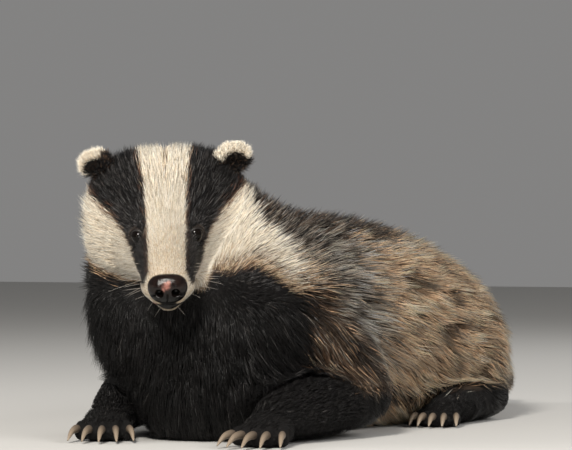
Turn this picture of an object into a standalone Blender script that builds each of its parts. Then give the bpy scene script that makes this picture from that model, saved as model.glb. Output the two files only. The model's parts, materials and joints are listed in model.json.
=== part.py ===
"""European badger, life size, lying on its belly with its head raised and turned to its left.

Metres, +Z up, and the floor is z = 0. The body lies along Y with the rump at +Y, and +X is the
badger's left. The origin is on the flat of the belly. Sizes are those of the coat's outer form, out to
the tips of its hair, unless a comment says otherwise.
"""

import math
import random

import bmesh
import bpy
import numpy as np
from mathutils import Matrix, Vector
from mathutils.bvhtree import BVHTree

# Gaps and flats
GAP = 0.0003
FAR = 0.6

# The head hangs from the point midway between the eyes, and is built facing -Y before it is turned.
EYE_MIDPOINT = Vector((0.0055, -0.292, 0.176))
HEAD_TURN = math.radians(29)
HEAD_PITCH = math.radians(32)
HEAD_ROLL = math.radians(-2.7)

# The trunk, from the rump to the nape. Each section stands on a line from its lowest point to its highest:
# x of the middle, y and z of the top, y and z of the bottom, half width, how far up it is widest, and the
# depth of its coat.
TRUNK = (
    (0.000, 0.270, 0.098, 0.266, 0.030, 0.046, 0.45, 0.026),
    (0.000, 0.250, 0.124, 0.250, 0.006, 0.081, 0.42, 0.026),
    (0.000, 0.204, 0.150, 0.205, -0.012, 0.106, 0.40, 0.026),
    (0.000, 0.140, 0.171, 0.140, -0.012, 0.119, 0.40, 0.026),
    (0.000, 0.070, 0.186, 0.070, -0.012, 0.124, 0.42, 0.026),
    (0.000, 0.000, 0.194, 0.000, -0.012, 0.121, 0.45, 0.026),
    (0.000, -0.070, 0.197, -0.080, -0.012, 0.115, 0.46, 0.026),
    (0.000, -0.120, 0.199, -0.160, -0.012, 0.110, 0.48, 0.024),
    (-0.004, -0.152, 0.206, -0.228, 0.006, 0.109, 0.50, 0.021),
    (-0.010, -0.180, 0.219, -0.270, 0.050, 0.100, 0.50, 0.018),
    (-0.016, -0.200, 0.232, -0.276, 0.095, 0.088, 0.52, 0.014),
    (-0.021, -0.219, 0.242, -0.262, 0.135, 0.075, 0.56, 0.006),
    (-0.025, -0.230, 0.246, -0.250, 0.165, 0.060, 0.58, 0.002),
)
TRUNK_SIDES = 18
TRUNK_STEPS = 1
TRUNK_SQUARE = 0.88
BODY_COAT = 0.026
CORE_SHARE = 0.5
BREAST = ((0.0, -0.212, 0.062), (0.088, 0.066, 0.080))
SHOULDER = ((0.066, -0.160, 0.085), (0.047, 0.062, 0.068))
HAUNCH = ((0.078, 0.135, 0.060), (0.052, 0.070, 0.074))
THIGH_OUT = 0.012
THIGH_MARGIN = 0.008
NECK_PLANE = (Vector((0, -0.135, 0.212)), Vector((0, -0.707, 0.707)))

# The tail: points along its middle and the radius there.
TAIL = (
    (0.000, 0.236, 0.080, 0.036),
    (0.002, 0.276, 0.066, 0.037),
    (0.006, 0.310, 0.048, 0.036),
    (0.012, 0.346, 0.036, 0.032),
    (0.018, 0.378, 0.026, 0.022),
    (0.021, 0.398, 0.020, 0.010),
)
TAIL_ROOT_Y = 0.284
TAIL_INSET = 0.006

# The head's sections, measured from the eyes' midpoint in its own frame:
# forward, half width, top, bottom, height of the widest line.
HEAD = (
    (0.0600, 0.0130, -0.0060, -0.0330, -0.0200),
    (0.0560, 0.0180, -0.0025, -0.0370, -0.0200),
    (0.0450, 0.0215, 0.0020, -0.0410, -0.0200),
    (0.0300, 0.0235, 0.0070, -0.0450, -0.0210),
    (0.0150, 0.0262, 0.0130, -0.0490, -0.0220),
    (0.0000, 0.0318, 0.0205, -0.0530, -0.0240),
    (-0.0150, 0.0460, 0.0300, -0.0580, -0.0320),
    (-0.0300, 0.0620, 0.0385, -0.0640, -0.0380),
    (-0.0450, 0.0720, 0.0450, -0.0690, -0.0400),
    (-0.0600, 0.0750, 0.0475, -0.0720, -0.0400),
    (-0.0750, 0.0720, 0.0435, -0.0720, -0.0380),
    (-0.0880, 0.0610, 0.0340, -0.0640, -0.0300),
    (-0.0970, 0.0400, 0.0150, -0.0450, -0.0200),
)
HEAD_SIDES = 22
HEAD_SQUARE = 0.68
HEAD_CELL = (
    (-0.086, 0.100),
    (-0.086, -0.052),
    (-0.030, -0.064),
    (0.020, -0.056),
    (0.100, -0.052),
    (0.100, 0.100),
)
HEAD_CELL_SIDE = 0.077
BROW = ((0.0170, 0.0080, 0.0090), (0.0115, 0.0170, 0.0068))
WHISKER_PAD = ((0.0130, -0.0440, -0.0220), (0.0110, 0.0150, 0.0110))
CHIN = ((0.0, -0.0455, -0.0385), (0.0110, 0.0110, 0.0075))

# Eyes and lids
EYE_RADIUS = 0.0058
EYE_CENTRE = Vector((0.0228, 0.0015, 0.0))
EYE_OUTWARD = math.radians(44)
EYE_UPWARD = math.radians(12)
LID_RADIUS = 0.0080
LID_OPENING = (0.0056, 0.0042)

# The nose pad
NOSE_CENTRE = Vector((0.0, -0.0600, -0.0160))
NOSE_SIZE = (0.0168, 0.0100, 0.0128)
NOSE_TILT = math.radians(-12)
NOSE_TAPER = 0.14
NOSTRIL = ((0.0068, -0.0100, -0.0010), (0.0034, 0.0060, 0.0038))
NOSTRIL_SLIT = ((0.0112, -0.0072, -0.0030), (0.0050, 0.0040, 0.0012))
NOSTRIL_SLIT_TURN = 0.5
NOSE_GROOVE = ((0.0, -0.0100, -0.0085), (0.0008, 0.0030, 0.0060))

# The mouth's line in the head's own frame, forward and height, from the front of the lips to its corner
MOUTH_LINE = ((0.075, -0.0310), (0.045, -0.0320), (0.015, -0.0330), (-0.010, -0.0290))
MOUTH_CORNER = -0.012
JAW_SIDE = 0.042
JAW_FLOOR = -0.100
LIP_RADIUS = 0.0014
LIP_FRONT = 0.052

# Ears, in a frame that stands on the ear's own root
EAR_ROOT = Vector((0.0545, 0.0600, 0.0280))
EAR_SIZE = (0.0165, 0.0085, 0.0165)
EAR_CUP = (0.0112, 0.0080, 0.0120)
EAR_LIFT = 0.0075
EAR_CUP_FORWARD = 0.0075
EAR_LEAN = math.radians(30)
EAR_FACING = math.radians(24)

# Forelegs: the upper arm and the forearm, each as points along its middle and the radius there.
FORELEGS = {
    "left": (
        ((0.074, -0.172, 0.090, 0.042), (0.090, -0.140, 0.060, 0.042), (0.099, -0.120, 0.038, 0.034)),
        ((0.101, -0.126, 0.036, 0.034), (0.098, -0.174, 0.031, 0.031), (0.088, -0.254, 0.022, 0.023)),
    ),
    "right": (
        ((-0.076, -0.172, 0.090, 0.042), (-0.093, -0.140, 0.060, 0.042), (-0.103, -0.120, 0.038, 0.034)),
        ((-0.105, -0.126, 0.036, 0.034), (-0.095, -0.174, 0.031, 0.031), (-0.070, -0.250, 0.022, 0.023)),
    ),
}
FORELEG_MARGIN = 0.010
FOREPAW = {"length": 0.060, "width": 0.050, "height": 0.030, "claw": 0.027, "turn": {"left": 6, "right": 24}}
HIND_PAWS = {"left": (0.110, 0.100), "right": (-0.110, 0.100)}
HIND_PAW = {"length": 0.064, "width": 0.042, "height": 0.028, "claw": 0.015, "turn": {"left": 8, "right": -8}}
HIND_SHANK = 0.060
SHANK_ENDS = ((0.045, 0.022, 0.020), (-0.050, 0.017, 0.018))
WRIST_TO_PAD = 0.012
TOES = 5
TOE_LEAN = 0.28
# A claw from its root: back as a share of its reach, height as a share of the paw's, and half its width
CLAW_ROWS = ((0.0, 0.34, 0.0030), (0.62, 0.32, 0.0024), (1.06, 0.10, 0.0010))
CLAW_SIDES = 5
CLAW_DEPTH = 1.2
SIDES = ("left", "right")

# Locks of the long coat. Each lies on the core from its root, which is sunk in it, and rises to the coat's
# outer form at its tip. Rows run across the body, and every other row is set off by half a step.
LOCK_SEED = 11
LOCK_RINGS = 3
LOCK_SINK = 0.007
LOCK_THICKNESS = 0.0075
LOCK_WIDTHS = (0.80, 1.0, 0.70)
LOCK_THICKNESSES = (1.0, 0.95, 0.75)
LOCK_SPREAD = 0.12
LOCK_TURN = 0.16
BODY_LOCKS = {"length": 0.094, "width": 0.058, "round": 9, "half_turn": 100}
BODY_LOCK_ROWS = {"first": -0.118, "last": 0.222, "count": 7}
BODY_AXIS_HEIGHT = 0.066
RUMP_LOCKS = {"length": 0.060, "width": 0.044, "count": 5, "radius": 0.058}
TAIL_LOCKS = {"length": 0.066, "width": 0.036, "rows": (0.292, 0.338), "round": 4}
NECK_LOCKS = {"length": 0.062, "width": 0.048, "rows": (0.22, 0.66), "round": 5, "half_turn": 112}
NECK_AXIS = (Vector((-0.018, -0.225, 0.170)), Vector((-0.004, -0.150, 0.127)))
NECK_RISE = 0.009

COLOURS = {
    "black_fur": (0.022, 0.020, 0.019),
    "white_fur": (0.80, 0.74, 0.62),
    "grey_fur": (0.30, 0.26, 0.22),
    "nose_skin": (0.045, 0.028, 0.024),
    "eye": (0.010, 0.007, 0.006),
    "claw": (0.42, 0.35, 0.26),
}
ROUGHNESS = {"nose_skin": 0.25, "eye": 0.04, "claw": 0.45}


def clear_scene():
    for obj in list(bpy.data.objects):
        bpy.data.objects.remove(obj)


def material(name):
    found = bpy.data.materials.get(name)
    if found:
        return found
    made = bpy.data.materials.new(name)
    made.use_nodes = True
    shader = made.node_tree.nodes["Principled BSDF"]
    shader.inputs["Base Color"].default_value = (*COLOURS[name], 1.0)
    shader.inputs["Roughness"].default_value = ROUGHNESS.get(name, 0.8)
    shader.inputs["Metallic"].default_value = 0.0
    return made


def object_of(name, points, faces):
    mesh = bpy.data.meshes.new(name)
    mesh.from_pydata([tuple(p) for p in points], [], faces)
    work = bmesh.new()
    work.from_mesh(mesh)
    bmesh.ops.recalc_face_normals(work, faces=work.faces)
    work.to_mesh(mesh)
    work.free()
    made = bpy.data.objects.new(name, mesh)
    bpy.context.scene.collection.objects.link(made)
    return made


def turned(obj, matrix):
    """The object's mesh moved by a matrix that has no mirror in it."""
    obj.data.transform(matrix)
    return obj


def mirrored(obj):
    """The object's mesh mirrored to the badger's other side, with its faces turned back out."""
    obj.data.transform(Matrix.Scale(-1, 4, (1, 0, 0)))
    obj.data.flip_normals()
    return obj


def sided(obj, side):
    return obj if side == "left" else mirrored(obj)


def smooth_rows(rows, steps):
    """Rows of numbers with steps - 1 rows added between each two, on a Catmull-Rom curve."""
    rows = np.array(rows, float)
    padded = np.vstack([2 * rows[0] - rows[1], rows, 2 * rows[-1] - rows[-2]])
    found = []
    for before, start, end, after in zip(padded, padded[1:], padded[2:], padded[3:]):
        for step in range(steps):
            t = step / steps
            found.append(
                0.5
                * (
                    2 * start
                    + (end - before) * t
                    + (2 * before - 5 * start + 4 * end - after) * t**2
                    + (3 * start - before - 3 * end + after) * t**3
                )
            )
    found.append(rows[-1])
    return found


def lofted(name, rings):
    """A closed mesh through rings of one count of points, with a point at the middle of each end."""
    sides = len(rings[0])
    points = [point for ring in rings for point in ring]
    faces = []
    for row in range(len(rings) - 1):
        for side in range(sides):
            after = (side + 1) % sides
            low, high = row * sides, (row + 1) * sides
            faces.append((low + side, low + after, high + after, high + side))
    for row in (0, len(rings) - 1):
        points.append(sum((Vector(p) for p in rings[row]), Vector()) / sides)
        for side in range(sides):
            faces.append((row * sides + side, row * sides + (side + 1) % sides, len(points) - 1))
    return object_of(name, points, faces)


def ellipsoid(name, centre, radii, around=14, rings=8):
    mesh = bpy.data.meshes.new(name)
    work = bmesh.new()
    bmesh.ops.create_uvsphere(work, u_segments=around, v_segments=rings, radius=1.0)
    bmesh.ops.transform(work, matrix=Matrix.Diagonal((*radii, 1.0)), verts=work.verts)
    bmesh.ops.translate(work, vec=Vector(centre), verts=work.verts)
    work.to_mesh(mesh)
    work.free()
    made = bpy.data.objects.new(name, mesh)
    bpy.context.scene.collection.objects.link(made)
    return made


def block(name, low, high):
    """A box between two corners."""
    low, high = Vector(low), Vector(high)
    return turned(
        object_of(
            name,
            [(x, y, z) for x in (0, 1) for y in (0, 1) for z in (0, 1)],
            [(0, 1, 3, 2), (4, 6, 7, 5), (0, 4, 5, 1), (2, 3, 7, 6), (0, 2, 6, 4), (1, 5, 7, 3)],
        ),
        Matrix.Translation(low) @ Matrix.Diagonal((*(high - low), 1.0)),
    )


def half_space(name, point, normal):
    """A large box that fills the side of a plane that its normal points to."""
    made = block(name, (-FAR, -FAR, 0), (FAR, FAR, FAR))
    facing = Vector(normal).to_track_quat("Z", "Y").to_matrix().to_4x4()
    return turned(made, Matrix.Translation(point) @ facing)


def tube(name, rows, sides, steps=2):
    """A tube of round sections through rows of x, y, z and radius, with rounded ends."""
    rows = smooth_rows(rows, steps)
    rings = []
    for index, row in enumerate(rows):
        ahead, behind = rows[min(index + 1, len(rows) - 1)], rows[max(index - 1, 0)]
        along = Vector(ahead[:3] - behind[:3]).normalized()
        side = along.cross(Vector((0, 0, 1))).normalized()
        up = side.cross(along)
        domes = [(0, 1)]
        if index == 0:
            domes = [(-0.55, 0.80), (0, 1)]
        elif index == len(rows) - 1:
            domes = [(0, 1), (0.55, 0.80)]
        for forth, share in domes:
            middle = Vector(row[:3]) + along * forth * row[3]
            rings.append(
                [
                    middle + (side * math.sin(angle) + up * math.cos(angle)) * row[3] * share
                    for angle in (2 * math.pi * k / sides for k in range(sides))
                ]
            )
    return lofted(name, rings)


def joined(name, pieces, operation="UNION"):
    """The first piece with all the others fused to it or cut from it, and the others removed."""
    base, others = pieces[0], bpy.data.collections.new(name + "_pieces")
    bpy.context.scene.collection.children.link(others)
    for piece in pieces[1:]:
        others.objects.link(piece)
    step = base.modifiers.new("join", "BOOLEAN")
    step.operation, step.solver = operation, "MANIFOLD"
    step.operand_type, step.collection = "COLLECTION", others
    bpy.context.view_layer.update()
    graph = bpy.context.evaluated_depsgraph_get()
    mesh = bpy.data.meshes.new_from_object(base.evaluated_get(graph))
    made = bpy.data.objects.new(name, mesh)
    bpy.context.scene.collection.objects.link(made)
    for piece in pieces:
        bpy.data.objects.remove(piece)
    bpy.data.collections.remove(others)
    return made


def copied(obj, name):
    made = bpy.data.objects.new(name, obj.data.copy())
    bpy.context.scene.collection.objects.link(made)
    return made


def swollen(obj, by=GAP):
    """A copy of a closed object with its surface moved outwards."""
    made = copied(obj, obj.name + "_swollen")
    work = bmesh.new()
    work.from_mesh(made.data)
    bmesh.ops.recalc_face_normals(work, faces=work.faces)
    for vertex, move in [(v, v.normal * by * v.calc_shell_factor()) for v in work.verts]:
        vertex.co += move
    work.to_mesh(made.data)
    work.free()
    return made


def common(name, first, second):
    return joined(name, [first, second], "INTERSECT")


def parted(whole, name, cutter):
    """The share of the whole inside a cutter, as a new object, and the rest, with the gap between them."""
    rest = joined(whole.name, [copied(whole, "rest"), swollen(cutter)], "DIFFERENCE")
    return common(name, whole, cutter), rest


def largest_only(obj):
    """Keeps only the object's largest closed surface."""
    work = bmesh.new()
    work.from_mesh(obj.data)
    work.verts.ensure_lookup_table()
    seen, groups = set(), []
    for start in work.verts:
        if start in seen:
            continue
        group, waiting = [], [start]
        seen.add(start)
        while waiting:
            vertex = waiting.pop()
            group.append(vertex)
            for edge in vertex.link_edges:
                other = edge.other_vert(vertex)
                if other not in seen:
                    seen.add(other)
                    waiting.append(other)
        groups.append(group)

    def volume(group):
        faces = {face for vertex in group for face in vertex.link_faces}
        total = 0.0
        for face in faces:
            first = face.verts[0].co
            for one, two in zip(face.verts[1:], face.verts[2:]):
                total += first.dot(one.co.cross(two.co)) / 6
        return total

    groups.sort(key=volume)
    bmesh.ops.delete(work, geom=[vertex for group in groups[:-1] for vertex in group], context="VERTS")
    work.to_mesh(obj.data)
    work.free()
    return obj


def finished(obj, name, colour):
    """Names a node, gives it its material and smooth shading, and drops what came loose from it."""
    largest_only(obj)
    obj.name = obj.data.name = name
    obj.data.materials.clear()
    obj.data.materials.append(material(colour))
    obj.data.shade_smooth()
    obj.data.set_sharp_from_angle(angle=math.radians(50))
    return obj


def head_matrix():
    return (
        Matrix.Translation(EYE_MIDPOINT)
        @ Matrix.Rotation(HEAD_TURN, 4, "Z")
        @ Matrix.Rotation(HEAD_PITCH, 4, "X")
        @ Matrix.Rotation(HEAD_ROLL, 4, "Y")
    )


def rounded_ring(half_width, top, bottom, middle, sides, square_top, square_low=0.92):
    """Points (x, z) round a section, widest at its middle. A square share under 1 fills its corners."""
    found = []
    for k in range(sides):
        angle = 2 * math.pi * k / sides
        across, upward = math.sin(angle), math.cos(angle)
        reach = (top - middle) if upward > 0 else (middle - bottom)
        square = square_top if upward > 0 else square_low
        found.append(
            (
                half_width * math.copysign(abs(across) ** square, across),
                middle + reach * math.copysign(abs(upward) ** square, upward),
            )
        )
    return found


def trunk_rings(depth):
    """The trunk's sections, each drawn in by a share of its coat, but not below, where it is pressed flat."""
    rings = []
    for x, top_y, top_z, low_y, low_z, wide, share, coat in smooth_rows(TRUNK, TRUNK_STEPS):
        inset = coat * depth
        low, top = Vector((x, low_y, low_z)), Vector((x, top_y, top_z))
        height, up = (top - low).length, (top - low).normalized()
        middle = low + up * height * share
        rise, fall = height * (1 - share) - inset, -height * share
        ring = rounded_ring(wide - inset, rise, fall, 0.0, TRUNK_SIDES, TRUNK_SQUARE)
        rings.append([middle + Vector((-across, 0, 0)) + up * rise for across, rise in ring])
    return rings


def trunk_body(depth):
    return lofted("trunk", trunk_rings(depth))


def lock(tree, root, lie, length, width, rise, chance):
    """A flat, tapered lock that follows a surface from its root along the coat's lie and rises off it."""
    length *= 1 + chance.uniform(-LOCK_SPREAD, LOCK_SPREAD)
    width *= 1 + chance.uniform(-LOCK_SPREAD, LOCK_SPREAD)
    lie = Matrix.Rotation(chance.uniform(-LOCK_TURN, LOCK_TURN), 3, tree.find_nearest(root)[1]) @ Vector(lie)
    points, place = [], Vector(root)
    for step in range(LOCK_RINGS + 1):
        share = step / LOCK_RINGS
        place, normal, _, _ = tree.find_nearest(place)
        along = (lie - normal * lie.dot(normal)).normalized()
        side = normal.cross(along)
        middle = place + normal * (rise * share**0.75 - LOCK_SINK * (1 - share))
        if step == LOCK_RINGS:
            points.append(middle)
            break
        wide = width / 2 * LOCK_WIDTHS[step]
        thick = LOCK_THICKNESS / 2 * LOCK_THICKNESSES[step]
        wide, thick = side * wide, normal * thick
        points += [middle + wide, middle + thick, middle - wide, middle - thick]
        place = place + along * length / LOCK_RINGS
    faces = [(0, 1, 2, 3)]
    for step in range(LOCK_RINGS - 1):
        low, high = 4 * step, 4 * step + 4
        faces += [(low + k, low + (k + 1) % 4, high + (k + 1) % 4, high + k) for k in range(4)]
    last = 4 * (LOCK_RINGS - 1)
    faces += [(last + k, last + (k + 1) % 4, len(points) - 1) for k in range(4)]
    return object_of("lock", points, faces)


def body_lie(place, normal):
    """Back towards the rump, and down as well on the flanks."""
    return Vector((0, 1, -0.75 * min(1, abs(normal.x) * 1.3)))


def by_foreleg(place):
    """Whether a place is on or beside a foreleg, where the hair is short."""
    for side in SIDES:
        for rows in FORELEGS[side]:
            for near, far in zip(rows, rows[1:]):
                start, end = Vector(near[:3]), Vector(far[:3])
                share = (place - start).dot(end - start) / (end - start).length_squared
                share = min(1, max(0, share))
                if (place - start.lerp(end, share)).length < near[3] + 1.4 * FORELEG_MARGIN:
                    return True
    return False


def rooted(tree, start, aim):
    """Where a line from a start towards an aim meets the surface, and its normal there."""
    place, normal, _, _ = tree.ray_cast(start, (aim - start).normalized())
    return place, normal


def coat(core):
    """The locks of the trunk, haunches, rump, tail and neck, over the whole core."""
    tree = BVHTree.FromObject(core, bpy.context.evaluated_depsgraph_get())
    chance = random.Random(LOCK_SEED)
    locks = []
    body_rise = BODY_COAT * CORE_SHARE

    size, rows = BODY_LOCKS, BODY_LOCK_ROWS
    for row in range(rows["count"]):
        y = rows["first"] + (rows["last"] - rows["first"]) * row / (rows["count"] - 1)
        count = size["round"] - row % 2
        for k in range(count):
            angle = math.radians(size["half_turn"]) * (2 * (k + 0.5) / count - 1)
            at = y + chance.uniform(-0.006, 0.006)
            axis = Vector((0, at, BODY_AXIS_HEIGHT))
            place, normal = rooted(tree, axis + Vector((math.sin(angle), 0, math.cos(angle))) * 0.3, axis)
            if place is None or place.z < 0.012 or by_foreleg(place):
                continue
            lie = body_lie(place, normal)
            locks.append(lock(tree, place, lie, size["length"], size["width"], body_rise, chance))

    size = RUMP_LOCKS
    for k in range(size["count"]):
        angle = 2 * math.pi * (k + 0.5) / size["count"]
        aim = Vector((math.sin(angle) * size["radius"], 0.15, 0.075 + math.cos(angle) * size["radius"] * 0.6))
        place, _ = rooted(tree, aim + Vector((0, 0.3, 0)), aim)
        lie = Vector((math.sin(angle) * 0.5, 0.3, -0.8))
        locks.append(lock(tree, place, lie, size["length"], size["width"], body_rise, chance))

    size = TAIL_LOCKS
    for row, y in enumerate(size["rows"]):
        for k in range(size["round"]):
            angle = 2 * math.pi * (k + 0.5 * (row % 2)) / size["round"]
            axis = tail_middle(y)
            start = axis + Vector((math.sin(angle), 0, math.cos(angle))) * 0.2
            place, _ = rooted(tree, start, axis)
            lie = Vector((0.05, 1, -0.35))
            locks.append(lock(tree, place, lie, size["length"], size["width"], TAIL_INSET, chance))

    size = NECK_LOCKS
    low, high = NECK_AXIS
    along = (high - low).normalized()
    side = Vector((1, 0, 0))
    back = side.cross(along)
    for row, share in enumerate(size["rows"]):
        count = size["round"] - row % 2
        for k in range(count):
            angle = math.radians(size["half_turn"]) * (2 * (k + 0.5) / count - 1)
            axis = low.lerp(high, share)
            start = axis + (side * math.sin(angle) + back * math.cos(angle)) * 0.3
            place, normal = rooted(tree, start, axis)
            lie = Vector((0, 0.75, -0.75))
            locks.append(lock(tree, place, lie, size["length"], size["width"], NECK_RISE, chance))
    return locks


def tail_middle(y):
    """The point on the tail's middle line at a place along the body."""
    for near, far in zip(TAIL, TAIL[1:]):
        if y <= far[1]:
            break
    return Vector(near[:3]).lerp(Vector(far[:3]), (y - near[1]) / (far[1] - near[1]))


def paired(name, shape, inset=0.0):
    """Two ellipsoids that mirror each other, as large as their shape says less the inset."""
    (x, y, z), radii = shape
    radii = [radius - inset for radius in radii]
    return [ellipsoid(f"{name}_{sign}", (sign * x, y, z), radii) for sign in (-1, 1)]


def head_body():
    rings = []
    for forward, wide, top, bottom, middle in smooth_rows(HEAD, 2):
        ring = rounded_ring(wide, top, bottom, middle, HEAD_SIDES, HEAD_SQUARE)
        rings.append([Vector((x, -forward, z)) for x, z in ring])
    pieces = [lofted("skull", rings)]
    pieces += paired("brow", BROW)
    pieces += paired("whisker_pad", WHISKER_PAD)
    pieces.append(ellipsoid("chin", *CHIN))
    return [turned(piece, head_matrix()) for piece in pieces]


def eye_frame():
    """Carries a shape that looks along -Y at the origin to the badger's left eye, in the head's own frame."""
    return (
        Matrix.Translation(EYE_CENTRE)
        @ Matrix.Rotation(EYE_OUTWARD, 4, "Z")
        @ Matrix.Rotation(-EYE_UPWARD, 4, "X")
    )


def eyeball(side, extra=0.0):
    made = ellipsoid(f"eye_{side}", (0, 0, 0), [EYE_RADIUS + extra] * 3, 12, 7)
    return turned(sided(turned(made, eye_frame()), side), head_matrix())


def lid_mass(side):
    made = ellipsoid(f"lids_{side}", (0, 0, 0), [LID_RADIUS] * 3, 12, 8)
    return turned(sided(turned(made, eye_frame()), side), head_matrix())


def lid_opening(side):
    wide, high = LID_OPENING
    made = ellipsoid(f"opening_{side}", (0, -LID_RADIUS, 0), (wide, LID_RADIUS * 1.1, high))
    return turned(sided(turned(made, eye_frame()), side), head_matrix())


def nose_pad():
    made = ellipsoid("pad", (0, 0, 0), NOSE_SIZE, 16, 10)
    for vertex in made.data.vertices:
        vertex.co.x *= 1 - NOSE_TAPER * max(0.0, -vertex.co.z / NOSE_SIZE[2])
    cuts = [ellipsoid("groove", *NOSE_GROOVE, 8, 6)]
    for sign in (-1, 1):
        (x, y, z), radii = NOSTRIL
        cuts.append(ellipsoid(f"nostril_{sign}", (sign * x, y, z), radii, 8, 6))
        (x, y, z), radii = NOSTRIL_SLIT
        place = Matrix.Translation((sign * x, y, z)) @ Matrix.Rotation(sign * NOSTRIL_SLIT_TURN, 4, "Y")
        cuts.append(turned(ellipsoid(f"slit_{sign}", (0, 0, 0), radii, 8, 6), place))
    pad = joined("nose", [made, *cuts], "DIFFERENCE")
    return turned(pad, head_matrix() @ Matrix.Translation(NOSE_CENTRE) @ Matrix.Rotation(NOSE_TILT, 4, "X"))


def nose_pocket():
    made = ellipsoid("pocket", (0, 0, 0), [radius + GAP for radius in NOSE_SIZE], 16, 10)
    return turned(made, head_matrix() @ Matrix.Translation(NOSE_CENTRE) @ Matrix.Rotation(NOSE_TILT, 4, "X"))


def ear_frame():
    return (
        Matrix.Translation(EAR_ROOT)
        @ Matrix.Rotation(EAR_FACING, 4, "Z")
        @ Matrix.Rotation(EAR_LEAN, 4, "Y")
        @ Matrix.Translation((0, 0, EAR_LIFT))
    )


def ear_shell(side, extra=0.0):
    made = ellipsoid(f"ear_{side}", (0, 0, 0), [radius + extra for radius in EAR_SIZE], 12, 7)
    return turned(sided(turned(made, ear_frame()), side), head_matrix())


def ear(side):
    """A cupped ear: its shell with the hollow cut from the front."""
    cup = ellipsoid("cup", (0, -EAR_CUP_FORWARD, 0.001), EAR_CUP, 12, 7)
    cup = turned(sided(turned(cup, ear_frame()), side), head_matrix())
    return joined(f"ear_{side}", [ear_shell(side), cup], "DIFFERENCE")


def lips(skin):
    """Two rolls along the mouth's line, set on the muzzle's surface."""
    tree = BVHTree.FromObject(skin, bpy.context.evaluated_depsgraph_get())
    place, turn = head_matrix(), head_matrix().to_3x3()
    rolls = []
    for sign in (-1, 1):
        rows = []
        for forward, height in smooth_rows(MOUTH_LINE, 2):
            if not MOUTH_CORNER <= forward <= LIP_FRONT:
                continue
            beside = place @ Vector((sign * 0.12, -forward, height))
            hit = tree.ray_cast(beside, turn @ Vector((-sign, 0, 0)))[0]
            if hit is not None:
                rows.append((*hit, LIP_RADIUS))
        rolls.append(tube(f"lip_{sign}", rows, 5, 1))
    return rolls


def prism(name, profile, side):
    """A side view, as forward and height in the head's own frame, drawn out to both sides of the head."""
    rings = [[Vector((x, -forward, height)) for forward, height in profile] for x in (-side, side)]
    count = len(profile)
    faces = [tuple(range(count)), tuple(range(count, 2 * count))]
    faces += [(k, (k + 1) % count, count + (k + 1) % count, count + k) for k in range(count)]
    return turned(object_of(name, rings[0] + rings[1], faces), head_matrix())


def jaw_cell():
    """Holds the lower jaw: below the mouth's line and forward of its corner."""
    profile = [*MOUTH_LINE, (MOUTH_CORNER - 0.004, JAW_FLOOR), (MOUTH_LINE[0][0], JAW_FLOOR)]
    return prism("jaw_cell", profile, JAW_SIDE)


def paw(name, size, turn, place):
    """A paw flat on the floor: its pad and toes as one object, and its claws as a list of objects."""
    length, width, height = size["length"], size["width"], size["height"]
    pieces = [ellipsoid(name, (0, 0, height * 0.42), (width * 0.46, length * 0.46, height * 0.60), 10, 6)]
    claws = []
    for toe in range(TOES):
        spread = (toe - (TOES - 1) / 2) / ((TOES - 1) / 2)
        x, y = spread * width * 0.38, -length * (0.40 - 0.13 * spread**2)
        lie = Matrix.Translation((x, y, 0)) @ Matrix.Rotation(spread * TOE_LEAN, 4, "Z")
        toe_size = (width * 0.125, length * 0.24, height * 0.34)
        pieces.append(turned(ellipsoid(f"{name}_toe_{toe}", (0, 0, height * 0.30), toe_size, 6, 4), lie))
        reach = size["claw"] * (1 - 0.22 * spread**2)
        root = -length * 0.15
        turns = [2 * math.pi * k / CLAW_SIDES for k in range(CLAW_SIDES)]
        rings = []
        for out, up, wide in CLAW_ROWS:
            middle = Vector((0, root - reach * out, height * up))
            rings.append([middle + wide * Vector((math.sin(t), 0, CLAW_DEPTH * math.cos(t))) for t in turns])
        claws.append(turned(lofted(f"{name}_claw_{toe}", rings), lie))
    whole = joined(name, pieces)
    move = Matrix.Translation((*place, 0)) @ Matrix.Rotation(math.radians(turn), 4, "Z")
    return turned(whole, move), [turned(claw, move) for claw in claws]


def on_floor(obj, name):
    """The share of an object above the floor, which leaves a small flat where it met it."""
    return common(name, obj, half_space("above", (0, 0, 0), (0, 0, 1)))


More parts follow.
